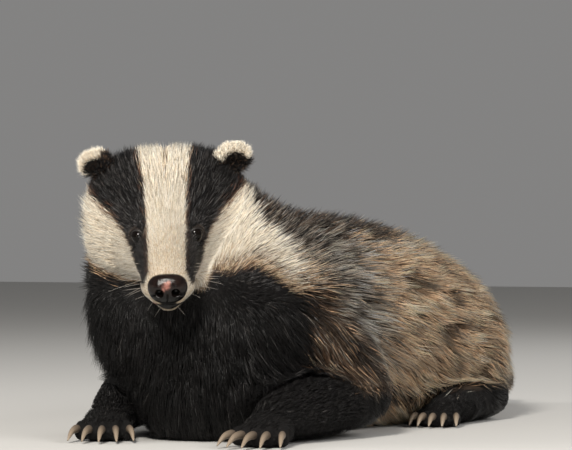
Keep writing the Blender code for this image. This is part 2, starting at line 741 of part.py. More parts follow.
def build():
    clear_scene()
    inset = BODY_COAT * CORE_SHARE
    trunk = [trunk_body(CORE_SHARE), ellipsoid("breast", *BREAST)]
    trunk += paired("shoulder", SHOULDER, inset) + paired("haunch", HAUNCH, inset)
    trunk.append(tube("brush", [(*row[:3], row[3] - TAIL_INSET) for row in TAIL], 10, 1))
    legs = {}
    for side in SIDES:
        upper, lower = FORELEGS[side]
        wrist = lower[-1]
        pad = (wrist[0], wrist[1] - WRIST_TO_PAD)
        hand, claws = paw(f"forepaw_{side}", FOREPAW, FOREPAW["turn"][side], pad)
        trunk += [tube("upper_arm", upper, 12), tube("forearm", lower, 12), hand]
        for number, claw in enumerate(claws, 1):
            legs[f"foreclaw_{side}_{number}"] = on_floor(claw, "claw")
    skull = joined("skull", head_body())
    rolls = lips(skull)
    core = joined("core", [*trunk, skull])
    whole = on_floor(joined("whole", [core, *coat(core)]), "whole")

    head, whole = parted(whole, "head", prism("head_cell", HEAD_CELL, HEAD_CELL_SIDE))
    neck, whole = parted(whole, "neck", half_space("neck_side", *NECK_PLANE))
    tail, whole = parted(whole, "tail", half_space("tail_side", (0, TAIL_ROOT_Y, 0), (0, 1, 0)))

    for side in SIDES:
        sign = 1 if side == "left" else -1
        (x, y, z), radii = HAUNCH
        size = [radius + THIGH_MARGIN for radius in radii]
        cutter = ellipsoid("thigh", (sign * (x + THIGH_OUT), y, z), size, 18, 10)
        legs[f"hind_leg_{side}"], whole = parted(whole, f"hind_leg_{side}", cutter)
        place = HIND_PAWS[side]
        pad = (place[0], place[1] - HIND_SHANK)
        foot, claws = paw(f"hind_paw_{side}", HIND_PAW, HIND_PAW["turn"][side], pad)
        shank_line = [(place[0], place[1] + along, up, radius) for along, up, radius in SHANK_ENDS]
        shank = tube("shank", shank_line, 10)
        legs[f"hind_paw_{side}"] = on_floor(joined("foot", [foot, shank]), "foot")
        for number, claw in enumerate(claws, 1):
            legs[f"hind_claw_{side}_{number}"] = on_floor(claw, "claw")

        upper, lower = ([(*row[:3], row[3] + FORELEG_MARGIN) for row in rows] for rows in FORELEGS[side])
        wrist, arm = Vector(lower[-1][:3]), Vector(lower[-2][:3])
        tip = wrist + (wrist - arm).normalized() * FOREPAW["length"]
        lower.append((*tip, FOREPAW["width"]))
        sleeve = joined("sleeve", [tube("sleeve", upper, 14), tube("sleeve", lower, 14)])
        limb, whole = parted(whole, "limb", sleeve)
        back = arm - wrist
        back.z = 0
        legs[f"foreleg_{side}"], legs[f"forepaw_{side}"] = parted(
            limb, f"foreleg_{side}", half_space("behind", wrist + back * 0.2, back.normalized())
        )

    for side in SIDES:
        for paw_name, claw_name in (("forepaw", "foreclaw"), ("hind_paw", "hind_claw")):
            cutters = [swollen(legs[f"{claw_name}_{side}_{number}"]) for number in range(1, TOES + 1)]
            name = f"{paw_name}_{side}"
            legs[name] = joined(name, [legs[name], *cutters], "DIFFERENCE")
        name = f"hind_leg_{side}"
        cutters = [swollen(legs[f"hind_claw_{side}_{number}"]) for number in range(1, TOES + 1)]
        legs[name] = joined(name, [legs[name], swollen(legs[f"hind_paw_{side}"]), *cutters], "DIFFERENCE")
    hind_parts = [obj for name, obj in legs.items() if name.startswith(("hind_paw", "hind_claw"))]
    torso = joined("torso", [whole, *[swollen(obj) for obj in hind_parts]], "DIFFERENCE")

    masses = [lid_mass(side) for side in SIDES]
    head = joined("head", [head, *masses, *rolls])
    cuts = [eyeball(side, GAP) for side in SIDES] + [lid_opening(side) for side in SIDES]
    cuts += [ear_shell(side, GAP) for side in SIDES] + [nose_pocket()]
    head = joined("head", [head, *cuts], "DIFFERENCE")
    jaw, head = parted(head, "jaw", jaw_cell())

    finished(torso, "torso", "grey_fur")
    finished(neck, "neck", "white_fur")
    finished(head, "head", "white_fur")
    finished(jaw, "jaw", "white_fur")
    finished(nose_pad(), "nose", "nose_skin")
    finished(tail, "tail", "grey_fur")
    for side in SIDES:
        finished(eyeball(side), f"eye_{side}", "eye")
        finished(ear(side), f"ear_{side}", "white_fur")
    for name, obj in legs.items():
        finished(obj, name, "claw" if "claw" in name else "black_fur")


build()
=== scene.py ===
import json
import math

import bmesh
import bpy
import numpy as np
from mathutils import Matrix, Vector
from mathutils.bvhtree import BVHTree
from mathutils.kdtree import KDTree

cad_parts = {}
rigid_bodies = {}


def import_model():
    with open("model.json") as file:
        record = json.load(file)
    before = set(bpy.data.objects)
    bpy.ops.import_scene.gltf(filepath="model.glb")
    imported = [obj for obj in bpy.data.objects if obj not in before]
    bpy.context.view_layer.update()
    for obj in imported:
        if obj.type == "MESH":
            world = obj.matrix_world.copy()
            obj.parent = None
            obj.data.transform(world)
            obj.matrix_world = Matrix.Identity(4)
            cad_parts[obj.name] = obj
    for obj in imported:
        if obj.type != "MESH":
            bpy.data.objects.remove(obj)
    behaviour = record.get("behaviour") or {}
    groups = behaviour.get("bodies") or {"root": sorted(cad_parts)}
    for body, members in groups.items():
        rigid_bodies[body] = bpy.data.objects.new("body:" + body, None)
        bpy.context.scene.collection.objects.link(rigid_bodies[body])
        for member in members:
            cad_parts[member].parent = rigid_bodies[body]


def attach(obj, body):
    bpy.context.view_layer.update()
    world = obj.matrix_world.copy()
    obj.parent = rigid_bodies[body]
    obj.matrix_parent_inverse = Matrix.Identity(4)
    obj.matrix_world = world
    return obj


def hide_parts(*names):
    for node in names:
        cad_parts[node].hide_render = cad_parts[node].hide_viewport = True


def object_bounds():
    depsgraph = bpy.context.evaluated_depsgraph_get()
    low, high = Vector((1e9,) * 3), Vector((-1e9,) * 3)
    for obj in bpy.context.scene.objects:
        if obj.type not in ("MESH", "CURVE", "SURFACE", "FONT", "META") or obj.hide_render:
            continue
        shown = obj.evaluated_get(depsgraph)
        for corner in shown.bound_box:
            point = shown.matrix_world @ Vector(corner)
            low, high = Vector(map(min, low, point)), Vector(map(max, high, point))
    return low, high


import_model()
solid_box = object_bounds()

# Camera
# The badger is seen from in front of its left shoulder and from the height of its chin, along a long
# lens, so that its head faces the lens and its body runs away to the right.


def placed(name, data):
    """A new object in the scene."""
    thing = bpy.data.objects.new(name, data)
    bpy.context.scene.collection.objects.link(thing)
    return thing


camera_data = bpy.data.cameras.new("camera")
camera_data.sensor_width = 36
camera_data.lens = 196.4
camera = placed("camera", camera_data)
camera.location = (1.274, -2.563, 0.183)
camera.rotation_euler = (math.radians(90), 0, math.radians(27))
bpy.context.scene.camera = camera

# Floor and studio light
# A plain pale floor under a pale, even sky. A strong soft lamp stands above the camera, with a weaker
# one on each side. A small one beside the camera glints in the eyes and the wet nose, and one behind picks
# out the tips of the coat along the back.
bpy.context.scene.view_settings.view_transform = "Standard"
floor_half = 6.0
floor_mesh = bpy.data.meshes.new("floor")
floor_mesh.from_pydata(
    [(x * floor_half, y * floor_half, 0) for x, y in ((-1, -1), (1, -1), (1, 1), (-1, 1))], [], [(0, 1, 2, 3)]
)
floor = placed("floor", floor_mesh)
floor_paint = bpy.data.materials.new("pale floor paint")
floor_paint.use_nodes = True
floor_shader = floor_paint.node_tree.nodes["Principled BSDF"]
floor_shader.inputs["Base Color"].default_value = (0.46, 0.455, 0.44, 1)
floor_shader.inputs["Roughness"].default_value = 0.75
floor_mesh.materials.append(floor_paint)

sky = bpy.data.worlds.new("studio")
sky.use_nodes = True
sky.node_tree.nodes["Background"].inputs["Color"].default_value = (0.84, 0.83, 0.82, 1)
sky.node_tree.nodes["Background"].inputs["Strength"].default_value = 0.27
bpy.context.scene.world = sky


def soft_lamp(name, place, aim, size, power, tint, glints=False):
    """A square lamp. Only one that glints shows in wet and glossy surfaces."""
    lamp_data = bpy.data.lights.new(name, "AREA")
    lamp_data.size = size
    lamp_data.energy = power
    lamp_data.color = tint
    lamp = placed(name, lamp_data)
    lamp.location = place
    lamp.rotation_euler = (Vector(aim) - Vector(place)).to_track_quat("-Z", "Y").to_euler()
    lamp.visible_glossy = glints


soft_lamp("key lamp", (0.55, -2.2, 1.6), (0, -0.15, 0.12), 0.5, 96, (1.0, 0.95, 0.88), True)
soft_lamp("front lamp", (1.15, -2.45, 0.60), (0, -0.3, 0.15), 0.12, 4, (1.0, 1.0, 1.0), True)
soft_lamp("left lamp", (-1.9, -1.2, 1.1), (0, -0.1, 0.1), 1.2, 30, (1.0, 0.97, 0.93))
soft_lamp("right lamp", (2.2, -0.4, 1.2), (0, 0.1, 0.1), 1.2, 42, (1.0, 0.98, 0.96))
soft_lamp("rim lamp", (0.3, 1.8, 1.6), (0, 0, 0.15), 1.0, 14, (1.0, 1.0, 1.0))

# Skin
# One closed skin covers the whole badger, from the muzzle to the tip of the tail. It is made as forms
# that overlap, each drawn in by the depth of its coat, and melted into one even surface.

# The trunk from the rump to the nape: x, y and z of the top, y and z of the bottom, half width, how far
# up it is widest, and the depth of the long coat.
trunk_sections = (
    (0.000, 0.270, 0.098, 0.266, 0.030, 0.046, 0.45, 0.026),
    (0.000, 0.250, 0.124, 0.250, 0.006, 0.081, 0.42, 0.026),
    (0.000, 0.204, 0.150, 0.205, -0.012, 0.106, 0.40, 0.026),
    (0.000, 0.140, 0.171, 0.140, -0.012, 0.119, 0.40, 0.026),
    (0.000, 0.070, 0.186, 0.070, -0.012, 0.124, 0.42, 0.026),
    (0.000, 0.000, 0.194, 0.000, -0.012, 0.121, 0.45, 0.026),
    (0.000, -0.070, 0.197, -0.080, -0.012, 0.115, 0.46, 0.026),
    (0.000, -0.120, 0.199, -0.160, -0.012, 0.110, 0.48, 0.024),
    (-0.004, -0.152, 0.206, -0.228, 0.006, 0.109, 0.50, 0.021),
    (-0.010, -0.180, 0.219, -0.270, 0.050, 0.100, 0.50, 0.018),
    (-0.016, -0.200, 0.232, -0.276, 0.095, 0.088, 0.52, 0.014),
    (-0.021, -0.219, 0.242, -0.262, 0.135, 0.075, 0.56, 0.010),
    (-0.025, -0.230, 0.246, -0.250, 0.165, 0.060, 0.58, 0.008),
)
# The skin takes this share of the trunk's coat depth, as the coat's own core fills the rest.
core_share = 0.5
# The head's sections in its own frame, from the nose back: forward of the eyes, half width, top, bottom,
# height of the widest line, and depth of the coat.
head_sections = (
    (0.0600, 0.0130, -0.0060, -0.0330, -0.0200, 0.0012),
    (0.0560, 0.0180, -0.0025, -0.0370, -0.0200, 0.0013),
    (0.0450, 0.0215, 0.0020, -0.0410, -0.0200, 0.0015),
    (0.0300, 0.0235, 0.0070, -0.0450, -0.0210, 0.0018),
    (0.0150, 0.0262, 0.0130, -0.0490, -0.0220, 0.0022),
    (0.0000, 0.0318, 0.0205, -0.0530, -0.0240, 0.0030),
    (-0.0150, 0.0460, 0.0300, -0.0580, -0.0320, 0.0045),
    (-0.0300, 0.0620, 0.0385, -0.0640, -0.0380, 0.0060),
    (-0.0450, 0.0720, 0.0450, -0.0690, -0.0400, 0.0070),
    (-0.0600, 0.0750, 0.0475, -0.0720, -0.0400, 0.0080),
    (-0.0750, 0.0720, 0.0435, -0.0720, -0.0380, 0.0085),
    (-0.0880, 0.0610, 0.0340, -0.0640, -0.0300, 0.0085),
    (-0.0970, 0.0400, 0.0150, -0.0450, -0.0200, 0.0085),
)
# Forms that are put on: centre, radii and coat depth. Those with a side to them come in pairs.
body_masses = {
    "breast": ((0.0, -0.212, 0.062), (0.088, 0.066, 0.080), 0.009),
    "shoulder": ((0.066, -0.160, 0.085), (0.047, 0.062, 0.068), 0.013),
    "haunch": ((0.078, 0.135, 0.060), (0.052, 0.070, 0.074), 0.013),
}
face_masses = {
    "brow": ((0.0170, 0.0080, 0.0090), (0.0115, 0.0170, 0.0068), 0.0020),
    "whisker pad": ((0.0130, -0.0440, -0.0220), (0.0110, 0.0150, 0.0110), 0.0014),
    "chin": ((0.0, -0.0455, -0.0385), (0.0110, 0.0110, 0.0075), 0.0012),
}
tail_line = (
    (0.000, 0.236, 0.080, 0.036),
    (0.002, 0.276, 0.066, 0.037),
    (0.006, 0.310, 0.048, 0.036),
    (0.012, 0.346, 0.036, 0.032),
    (0.018, 0.378, 0.026, 0.022),
    (0.021, 0.398, 0.020, 0.010),
)
tail_coat = 0.009
foreleg_lines = {
    1: (
        ((0.074, -0.172, 0.090, 0.042), (0.090, -0.140, 0.060, 0.042), (0.099, -0.120, 0.038, 0.034)),
        ((0.101, -0.126, 0.036, 0.034), (0.098, -0.174, 0.031, 0.031), (0.088, -0.254, 0.022, 0.023)),
    ),
    -1: (
        ((-0.076, -0.172, 0.090, 0.042), (-0.093, -0.140, 0.060, 0.042), (-0.103, -0.120, 0.038, 0.034)),
        ((-0.105, -0.126, 0.036, 0.034), (-0.095, -0.174, 0.031, 0.031), (-0.070, -0.250, 0.022, 0.023)),
    ),
}
foreleg_coat = 0.006
paw_coat = 0.0022
# Each paw: middle of the pad, length, width, height, reach of the claws and turn about the vertical.
paws = {
    "forepaw_left": ((0.088, -0.266), 0.060, 0.050, 0.030, 0.027, 6),
    "forepaw_right": ((-0.070, -0.262), 0.060, 0.050, 0.030, 0.027, 24),
    "hind_paw_left": ((0.110, 0.040), 0.064, 0.042, 0.028, 0.015, 8),
    "hind_paw_right": ((-0.110, 0.040), 0.064, 0.042, 0.028, 0.015, -8),
}
shank_line = ((0.110, 0.145, 0.022, 0.020), (0.110, 0.050, 0.017, 0.018))
# The pad and the toes of a paw, in shares of its width, length and height, and how high they lie
pad_shares, pad_rise = (0.46, 0.46, 0.60), 0.42
toe_shares, toe_rise = (0.13, 0.24, 0.34), 0.30
toe_count = 5
# The toes fan out: how far across and ahead they lie, how far the outer ones fall back, and their turn.
toe_across, toe_ahead, toe_back, toe_turn = 0.38, 0.40, 0.13, 0.28
# How square the upper corners of the sections are, where 1 is round
trunk_corners, head_corners = 0.88, 0.68

# The head hangs from the point midway between the eyes.
eye_midpoint = Vector((0.0055, -0.292, 0.176))
head_place = (
    Matrix.Translation(eye_midpoint)
    @ Matrix.Rotation(math.radians(29), 4, "Z")
    @ Matrix.Rotation(math.radians(32), 4, "X")
    @ Matrix.Rotation(math.radians(-2.7), 4, "Y")
)


def eased_rows(rows, steps):
    """Rows of numbers with more rows between them, on one smooth curve."""
    rows = np.array(rows, float)
    padded = np.vstack([2 * rows[0] - rows[1], rows, 2 * rows[-1] - rows[-2]])
    found = []
    for before, start, end, after in zip(padded, padded[1:], padded[2:], padded[3:]):
        for t in np.arange(steps) / steps:
            bend = 2 * before - 5 * start + 4 * end - after
            turn = 3 * start - before - 3 * end + after
            found.append(0.5 * (2 * start + (end - before) * t + bend * t**2 + turn * t**3))
    return found + [rows[-1]]


def section_ring(half_width, top, bottom, widest, square_top, square_low=0.92, sides=48):
    """Points round a section of the body, fuller at its corners where the square share is under 1."""
    turns = 2 * math.pi * np.arange(sides) / sides
    across, upward = np.sin(turns), np.cos(turns)
    reach = np.where(upward > 0, top - widest, widest - bottom)
    square = np.where(upward > 0, square_top, square_low)
    return zip(
        half_width * np.copysign(abs(across) ** square, across),
        widest + reach * np.copysign(abs(upward) ** square, upward),
    )


def add_loft(form, rings):
    rows = [[form.verts.new(point) for point in ring] for ring in rings]
    for near, far in zip(rows, rows[1:]):
        for side in range(len(near)):
            form.faces.new((near[side - 1], near[side], far[side], far[side - 1]))
    form.faces.new(rows[0])
    form.faces.new(rows[-1])


def add_ball(form, centre, radii, place=Matrix()):
    shape = place @ Matrix.Translation(centre) @ Matrix.Diagonal((*radii, 1.0))
    bmesh.ops.create_uvsphere(form, u_segments=32, v_segments=20, radius=1.0, matrix=shape)


def add_limb(form, line, drawn_in, sides=24):
    """A round limb through rows of x, y, z and radius, closed by a dome at each end."""
    rows = eased_rows(line, 4)
    rings = []
    for index, row in enumerate(rows):
        along = Vector(rows[min(index + 1, len(rows) - 1)][:3] - rows[max(index - 1, 0)][:3]).normalized()
        side = along.cross(Vector((0, 0, 1))).normalized()
        up = side.cross(along)
        radius = row[3] - drawn_in
        domes = [(0, 1)]
        if index == 0:
            domes = [(-0.9, 0.4), (-0.55, 0.82), (0, 1)]
        elif index == len(rows) - 1:
            domes = [(0, 1), (0.55, 0.82), (0.9, 0.4)]
        for forth, share in domes:
            middle = Vector(row[:3]) + along * forth * radius
            turns = [2 * math.pi * k / sides for k in range(sides)]
            rings.append([middle + (side * math.sin(t) + up * math.cos(t)) * radius * share for t in turns])
    add_loft(form, rings)


def paw_place(paw):
    (x, y), turn = paws[paw][0], paws[paw][5]
    return Matrix.Translation((x, y, 0)) @ Matrix.Rotation(math.radians(turn), 4, "Z")


def toe_place(paw, toe):
    """Where a toe of a paw lies, and how far it is from the middle toe, from -1 to 1."""
    length, width = paws[paw][1:3]
    spread = 2 * toe / (toe_count - 1) - 1
    x, y = spread * width * toe_across, -length * (toe_ahead - toe_back * spread**2)
    return paw_place(paw) @ Matrix.Translation((x, y, 0)) @ Matrix.Rotation(spread * toe_turn, 4, "Z"), spread


def badger_form(name, coat_share, grain):
    """The whole badger as one closed surface, drawn in by a share of its coat."""
    form = bmesh.new()
    rings = []
    for x, top_y, top_z, low_y, low_z, wide, share, coat in eased_rows(trunk_sections, 4):
        inset = coat * core_share * coat_share
        low, top = Vector((x, low_y, low_z)), Vector((x, top_y, top_z))
        height, up = (top - low).length, (top - low).normalized()
        ring = section_ring(wide - inset, height - inset, inset, height * share, trunk_corners)
        rings.append([low + Vector((across, 0, 0)) + up * rise for across, rise in ring])
    add_loft(form, rings)

    rings = []
    for forward, wide, top, bottom, widest, coat in eased_rows(head_sections, 3):
        inset = coat * coat_share
        ring = section_ring(wide - inset, top - inset, bottom + inset, widest, head_corners)
        rings.append([head_place @ Vector((across, -forward, rise)) for across, rise in ring])
    add_loft(form, rings)

    for masses, place in ((body_masses, Matrix()), (face_masses, head_place)):
        for (x, y, z), radii, coat in masses.values():
            for side in {x, -x}:
                add_ball(form, (side, y, z), [radius - coat * coat_share for radius in radii], place)
    add_limb(form, tail_line, tail_coat * coat_share)
    for side in (1, -1):
        for line in foreleg_lines[side]:
            add_limb(form, line, foreleg_coat * coat_share)
        add_limb(form, [(side * x, y, z, radius) for x, y, z, radius in shank_line], paw_coat * coat_share)
    for paw, (_, length, width, height, _, _) in paws.items():
        sizes = (width, length, height)
        pad = [size * share - paw_coat * coat_share for size, share in zip(sizes, pad_shares)]
        add_ball(form, (0, 0, height * pad_rise), pad, paw_place(paw))
        toe_size = [size * share - paw_coat * coat_share / 2 for size, share in zip(sizes, toe_shares)]
        for toe in range(toe_count):
            add_ball(form, (0, 0, height * toe_rise), toe_size, toe_place(paw, toe)[0])

    rough = bpy.data.meshes.new(name)
    form.to_mesh(rough)
    form.free()
    lump = placed(name, rough)
    melt = lump.modifiers.new("melt together", "REMESH")
    melt.mode = "VOXEL"
    melt.voxel_size = grain
    soften = lump.modifiers.new("soften the joins", "SMOOTH")
    soften.factor = 0.5
    soften.iterations = 6
    bpy.context.view_layer.update()
    melted = bpy.data.meshes.new_from_object(lump.evaluated_get(bpy.context.evaluated_depsgraph_get()))
    bpy.data.objects.remove(lump)
    return placed(name, melted)


def places_of(mesh):
    places = np.empty(len(mesh.vertices) * 3)
    mesh.vertices.foreach_get("co", places)
    return places.reshape(-1, 3)


def moved(places, matrix):
    """Rows of points taken through a matrix."""
    turn = np.array(matrix)
    return places @ turn[:3, :3].T + turn[:3, 3]


def in_head(places):
    """Rows of points in the head's own frame: to its left, behind its eyes and above them."""
    return moved(places, head_place.inverted())


def fade(value, start, end):
    """0 at the start and 1 at the end, eased between them."""
    share = np.clip((value - start) / (end - start), 0, 1)
    return share * share * (3 - 2 * share)


def blend(first, second, share):
    """The first where the share is 0, and the second where it is 1."""
    return first * (1 - share) + second * share


def unit(rows):
    return rows / np.maximum(np.linalg.norm(rows, axis=1, keepdims=True), 1e-9)


# The eyes sit in sockets: within the lids the skin falls back behind the ball.
eye_radius = 0.0064
eye_centre = (0.0234, -0.0004, -0.0014)
eye_outward = 30
eye_upward = 5
# The edge of a socket is blurred over these degrees, its floor lies this far inside the ball's surface,
# and it reaches this far from the ball's centre.
socket_edge = (62, 96)
socket_gap = 0.0012
socket_reach = 0.016
# The grain of the melted forms, and how high above the floor the skin stays
skin_grain, coat_grain = 0.0021, 0.004
sole_height = 0.0008


def eye_place(side):
    x, y, z = eye_centre
    return (
        head_place
        @ Matrix.Translation((side * x, y, z))
        @ Matrix.Rotation(side * math.radians(eye_outward), 4, "Z")
        @ Matrix.Rotation(-math.radians(eye_upward), 4, "X")
    )


def off_axis(places, side):
    """How far round from the way an eye looks places lie, in degrees, and how far from its centre."""
    local = moved(places, eye_place(side).inverted())
    reach = np.linalg.norm(local, axis=1)
    return np.degrees(np.arccos(np.clip(-local[:, 1] / reach, -1, 1))), reach, local


skin = badger_form("skin", 1.0, skin_grain)
skin_places = places_of(skin.data)
for side in (1, -1):
    angle, reach, local = off_axis(skin_places, side)
    near = (reach < socket_reach) & (angle < socket_edge[1])
    share = fade(angle[near], *socket_edge)
    wanted = blend(eye_radius - socket_gap, reach[near], share)
    local = local[near] * (np.minimum(wanted, reach[near]) / reach[near])[:, None]
    skin_places[near] = moved(local, eye_place(side))
skin_places[:, 2] = np.maximum(skin_places[:, 2], sole_height)
skin.data.vertices.foreach_set("co", skin_places.ravel())
skin.data.shade_smooth()
coat_outside = badger_form("coat outside", 0.0, coat_grain)
coat_tree = BVHTree.FromObject(coat_outside, bpy.context.evaluated_depsgraph_get())
bpy.data.objects.remove(coat_outside)

# Markings in shares of each kind of hair, the same for the skin and for the hairs on it. The rest is the
# grizzled grey of the back. White stripe: forward of the eyes and half width.
stripe_half = (
    (-0.110, 0.0260),
    (-0.058, 0.0212),
    (-0.020, 0.0170),
    (0.000, 0.0158),
    (0.025, 0.0152),
    (0.050, 0.0150),
)
# Black bands: forward of the eyes and the angle down from the crown where the band ends.
band_end = (
    (-0.110, 74),
    (-0.060, 64),
    (-0.024, 58),
    (-0.010, 64),
    (-0.002, 74),
    (0.003, 96),
    (0.012, 110),
    (0.030, 98),
    (0.050, 80),
)
band_axis = -0.022
# The lower hem of the white cheeks: across from the middle of the face to its left, and height.
cheek_hem = (
    (-0.120, -0.080),
    (-0.075, -0.062),
    (-0.029, -0.058),
    (-0.012, -0.053),
    (0.015, -0.052),
    (0.030, -0.048),
    (0.038, -0.036),
    (0.056, -0.032),
    (0.074, -0.030),
    (0.089, -0.041),
    (0.103, -0.058),
    (0.115, -0.066),
)
# How far the hem is blurred, by the distance from the middle of the face
hem_softness = ((0.000, 0.20), (0.028, 0.25), (0.050, 1.00), (0.090, 1.30))
# The hem of the black chest and shoulder: height and how far back it reaches.
chest_hem = (
    (0.000, -0.105),
    (0.021, -0.136),
    (0.044, -0.166),
    (0.067, -0.196),
    (0.089, -0.222),
    (0.110, -0.232),
    (0.128, -0.226),
    (0.150, -0.236),
    (0.230, -0.262),
)
# Where the white of the neck ends, behind the cheek: height and how far back it reaches.
ruff_edge = (
    (0.110, -0.205),
    (0.128, -0.200),
    (0.140, -0.205),
    (0.156, -0.213),
    (0.171, -0.218),
    (0.180, -0.228),
    (0.190, -0.232),
    (0.205, -0.228),
    (0.225, -0.220),
)
# Areas of the coat. Each range runs from where the area has faded out to where it is whole. On the body
# it says how far to its left, out to either side, back or up, and on the head how far across from its
# middle, forward of the eyes, above them, or round from the crown in degrees.
areas = {
    "top of the muzzle": (("round", 84, 72),),
    "behind the nose": (("forward", 0.055, 0.049),),
    "rusty edge": (("forward", 0.055, 0.045), ("round", 125, 112)),
    "parting": (("forward", -0.020, -0.042),),
    "front of the lip": (
        ("across", 0.0085, 0.0055),
        ("forward", 0.042, 0.050),
        ("above", -0.022, -0.028),
        ("above", -0.041, -0.037),
    ),
    "muzzle": (("forward", 0.000, 0.040),),
    "head": (("forward", -0.115, -0.080),),
    "right neck": (("left", -0.056, -0.074), ("up", 0.035, 0.060), ("up", 0.180, 0.150)),
    "belly": (("up", 0.018, 0.002),),
    "foreleg": (("back", 0.000, -0.060),),
    "foot": (("out", 0.080, 0.098), ("back", 0.190, 0.165)),
    "spine_dark_and_shade": (("out", 0.095, 0.050), ("up", 0.152, 0.178), ("back", 0.170, 0.070)),
    "neck": (("up", 0.120, 0.145),),
    "tail": (("back", 0.262, 0.290),),
    "shoulder": (("up", 0.142, 0.122),),
    "hem of the neck": (("up", 0.165, 0.150),),
    "flank": (("back", -0.135, -0.030), ("up", 0.190, 0.140)),
    "rump": (("back", 0.150, 0.235), ("up", 0.050, 0.090)),
    "low side": (("up", 0.060, 0.020),),
}
# The black of the feet ends at this height, higher on the forelegs, over this depth.
foot_top, foreleg_more, foot_fade = 0.044, 0.004, 0.016
# Half the width over which the edge of the white stripe and, in degrees, of the black bands is blurred
stripe_blur, band_blur = 0.0012, 2.0
# How far past the hem of the cheeks the tan and the white begin and are whole
tan_edge, white_edge = (-0.007, 0.001), (-0.003, 0.009)
# How far before the edge of the ruff the head's markings begin, and the painted shade of the nape behind the
# ear begins and ends
ruff_blur, nape_shade_edge, nape_shade_end = (-0.010, 0.006), (-0.004, -0.016), (-0.085, -0.045)
# How far before the hem of the chest its black begins, and how far behind it the shoulder's fur ends
chest_blur, shoulder_end = (-0.016, 0.012), (-0.085, -0.035)
# Rust-coloured hairs along the outer and the inner edge of the bands: share and spread
rust_outer, rust_inner = (0.26, 4.5), (0.24, 0.0016)
rust_offset = 0.0014
# The dark parting of the crown: share and width
parting_share, parting_width = 0.75, 0.0013
hair_kinds = ("white", "black", "rust", "tan", "grey", "brown", "painted_glint")


def along(value, knots):
    knots = np.array(sorted(knots))
    return np.interp(value, knots[:, 0], knots[:, 1])


def in_area(places, area):
    """How far each place is in an area of the coat, from 0 to 1."""
    head = in_head(places)
    measures = {
        "left": places[:, 0],
        "out": abs(places[:, 0]),
        "back": places[:, 1],
        "up": places[:, 2],
        "across": abs(head[:, 0]),
        "forward": -head[:, 1],
        "above": head[:, 2],
        "round": np.degrees(np.arctan2(abs(head[:, 0]), head[:, 2] - band_axis)),
    }
    share = np.ones(len(places))
    for measure, faded, whole in areas[area]:
        share = share * fade(measures[measure], faded, whole)
    return share


def kind_columns(shares):
    """One column for each kind of hair, from the shares of some of them."""
    return np.column_stack([shares.get(kind, 0 * shares["black"]) for kind in hair_kinds])


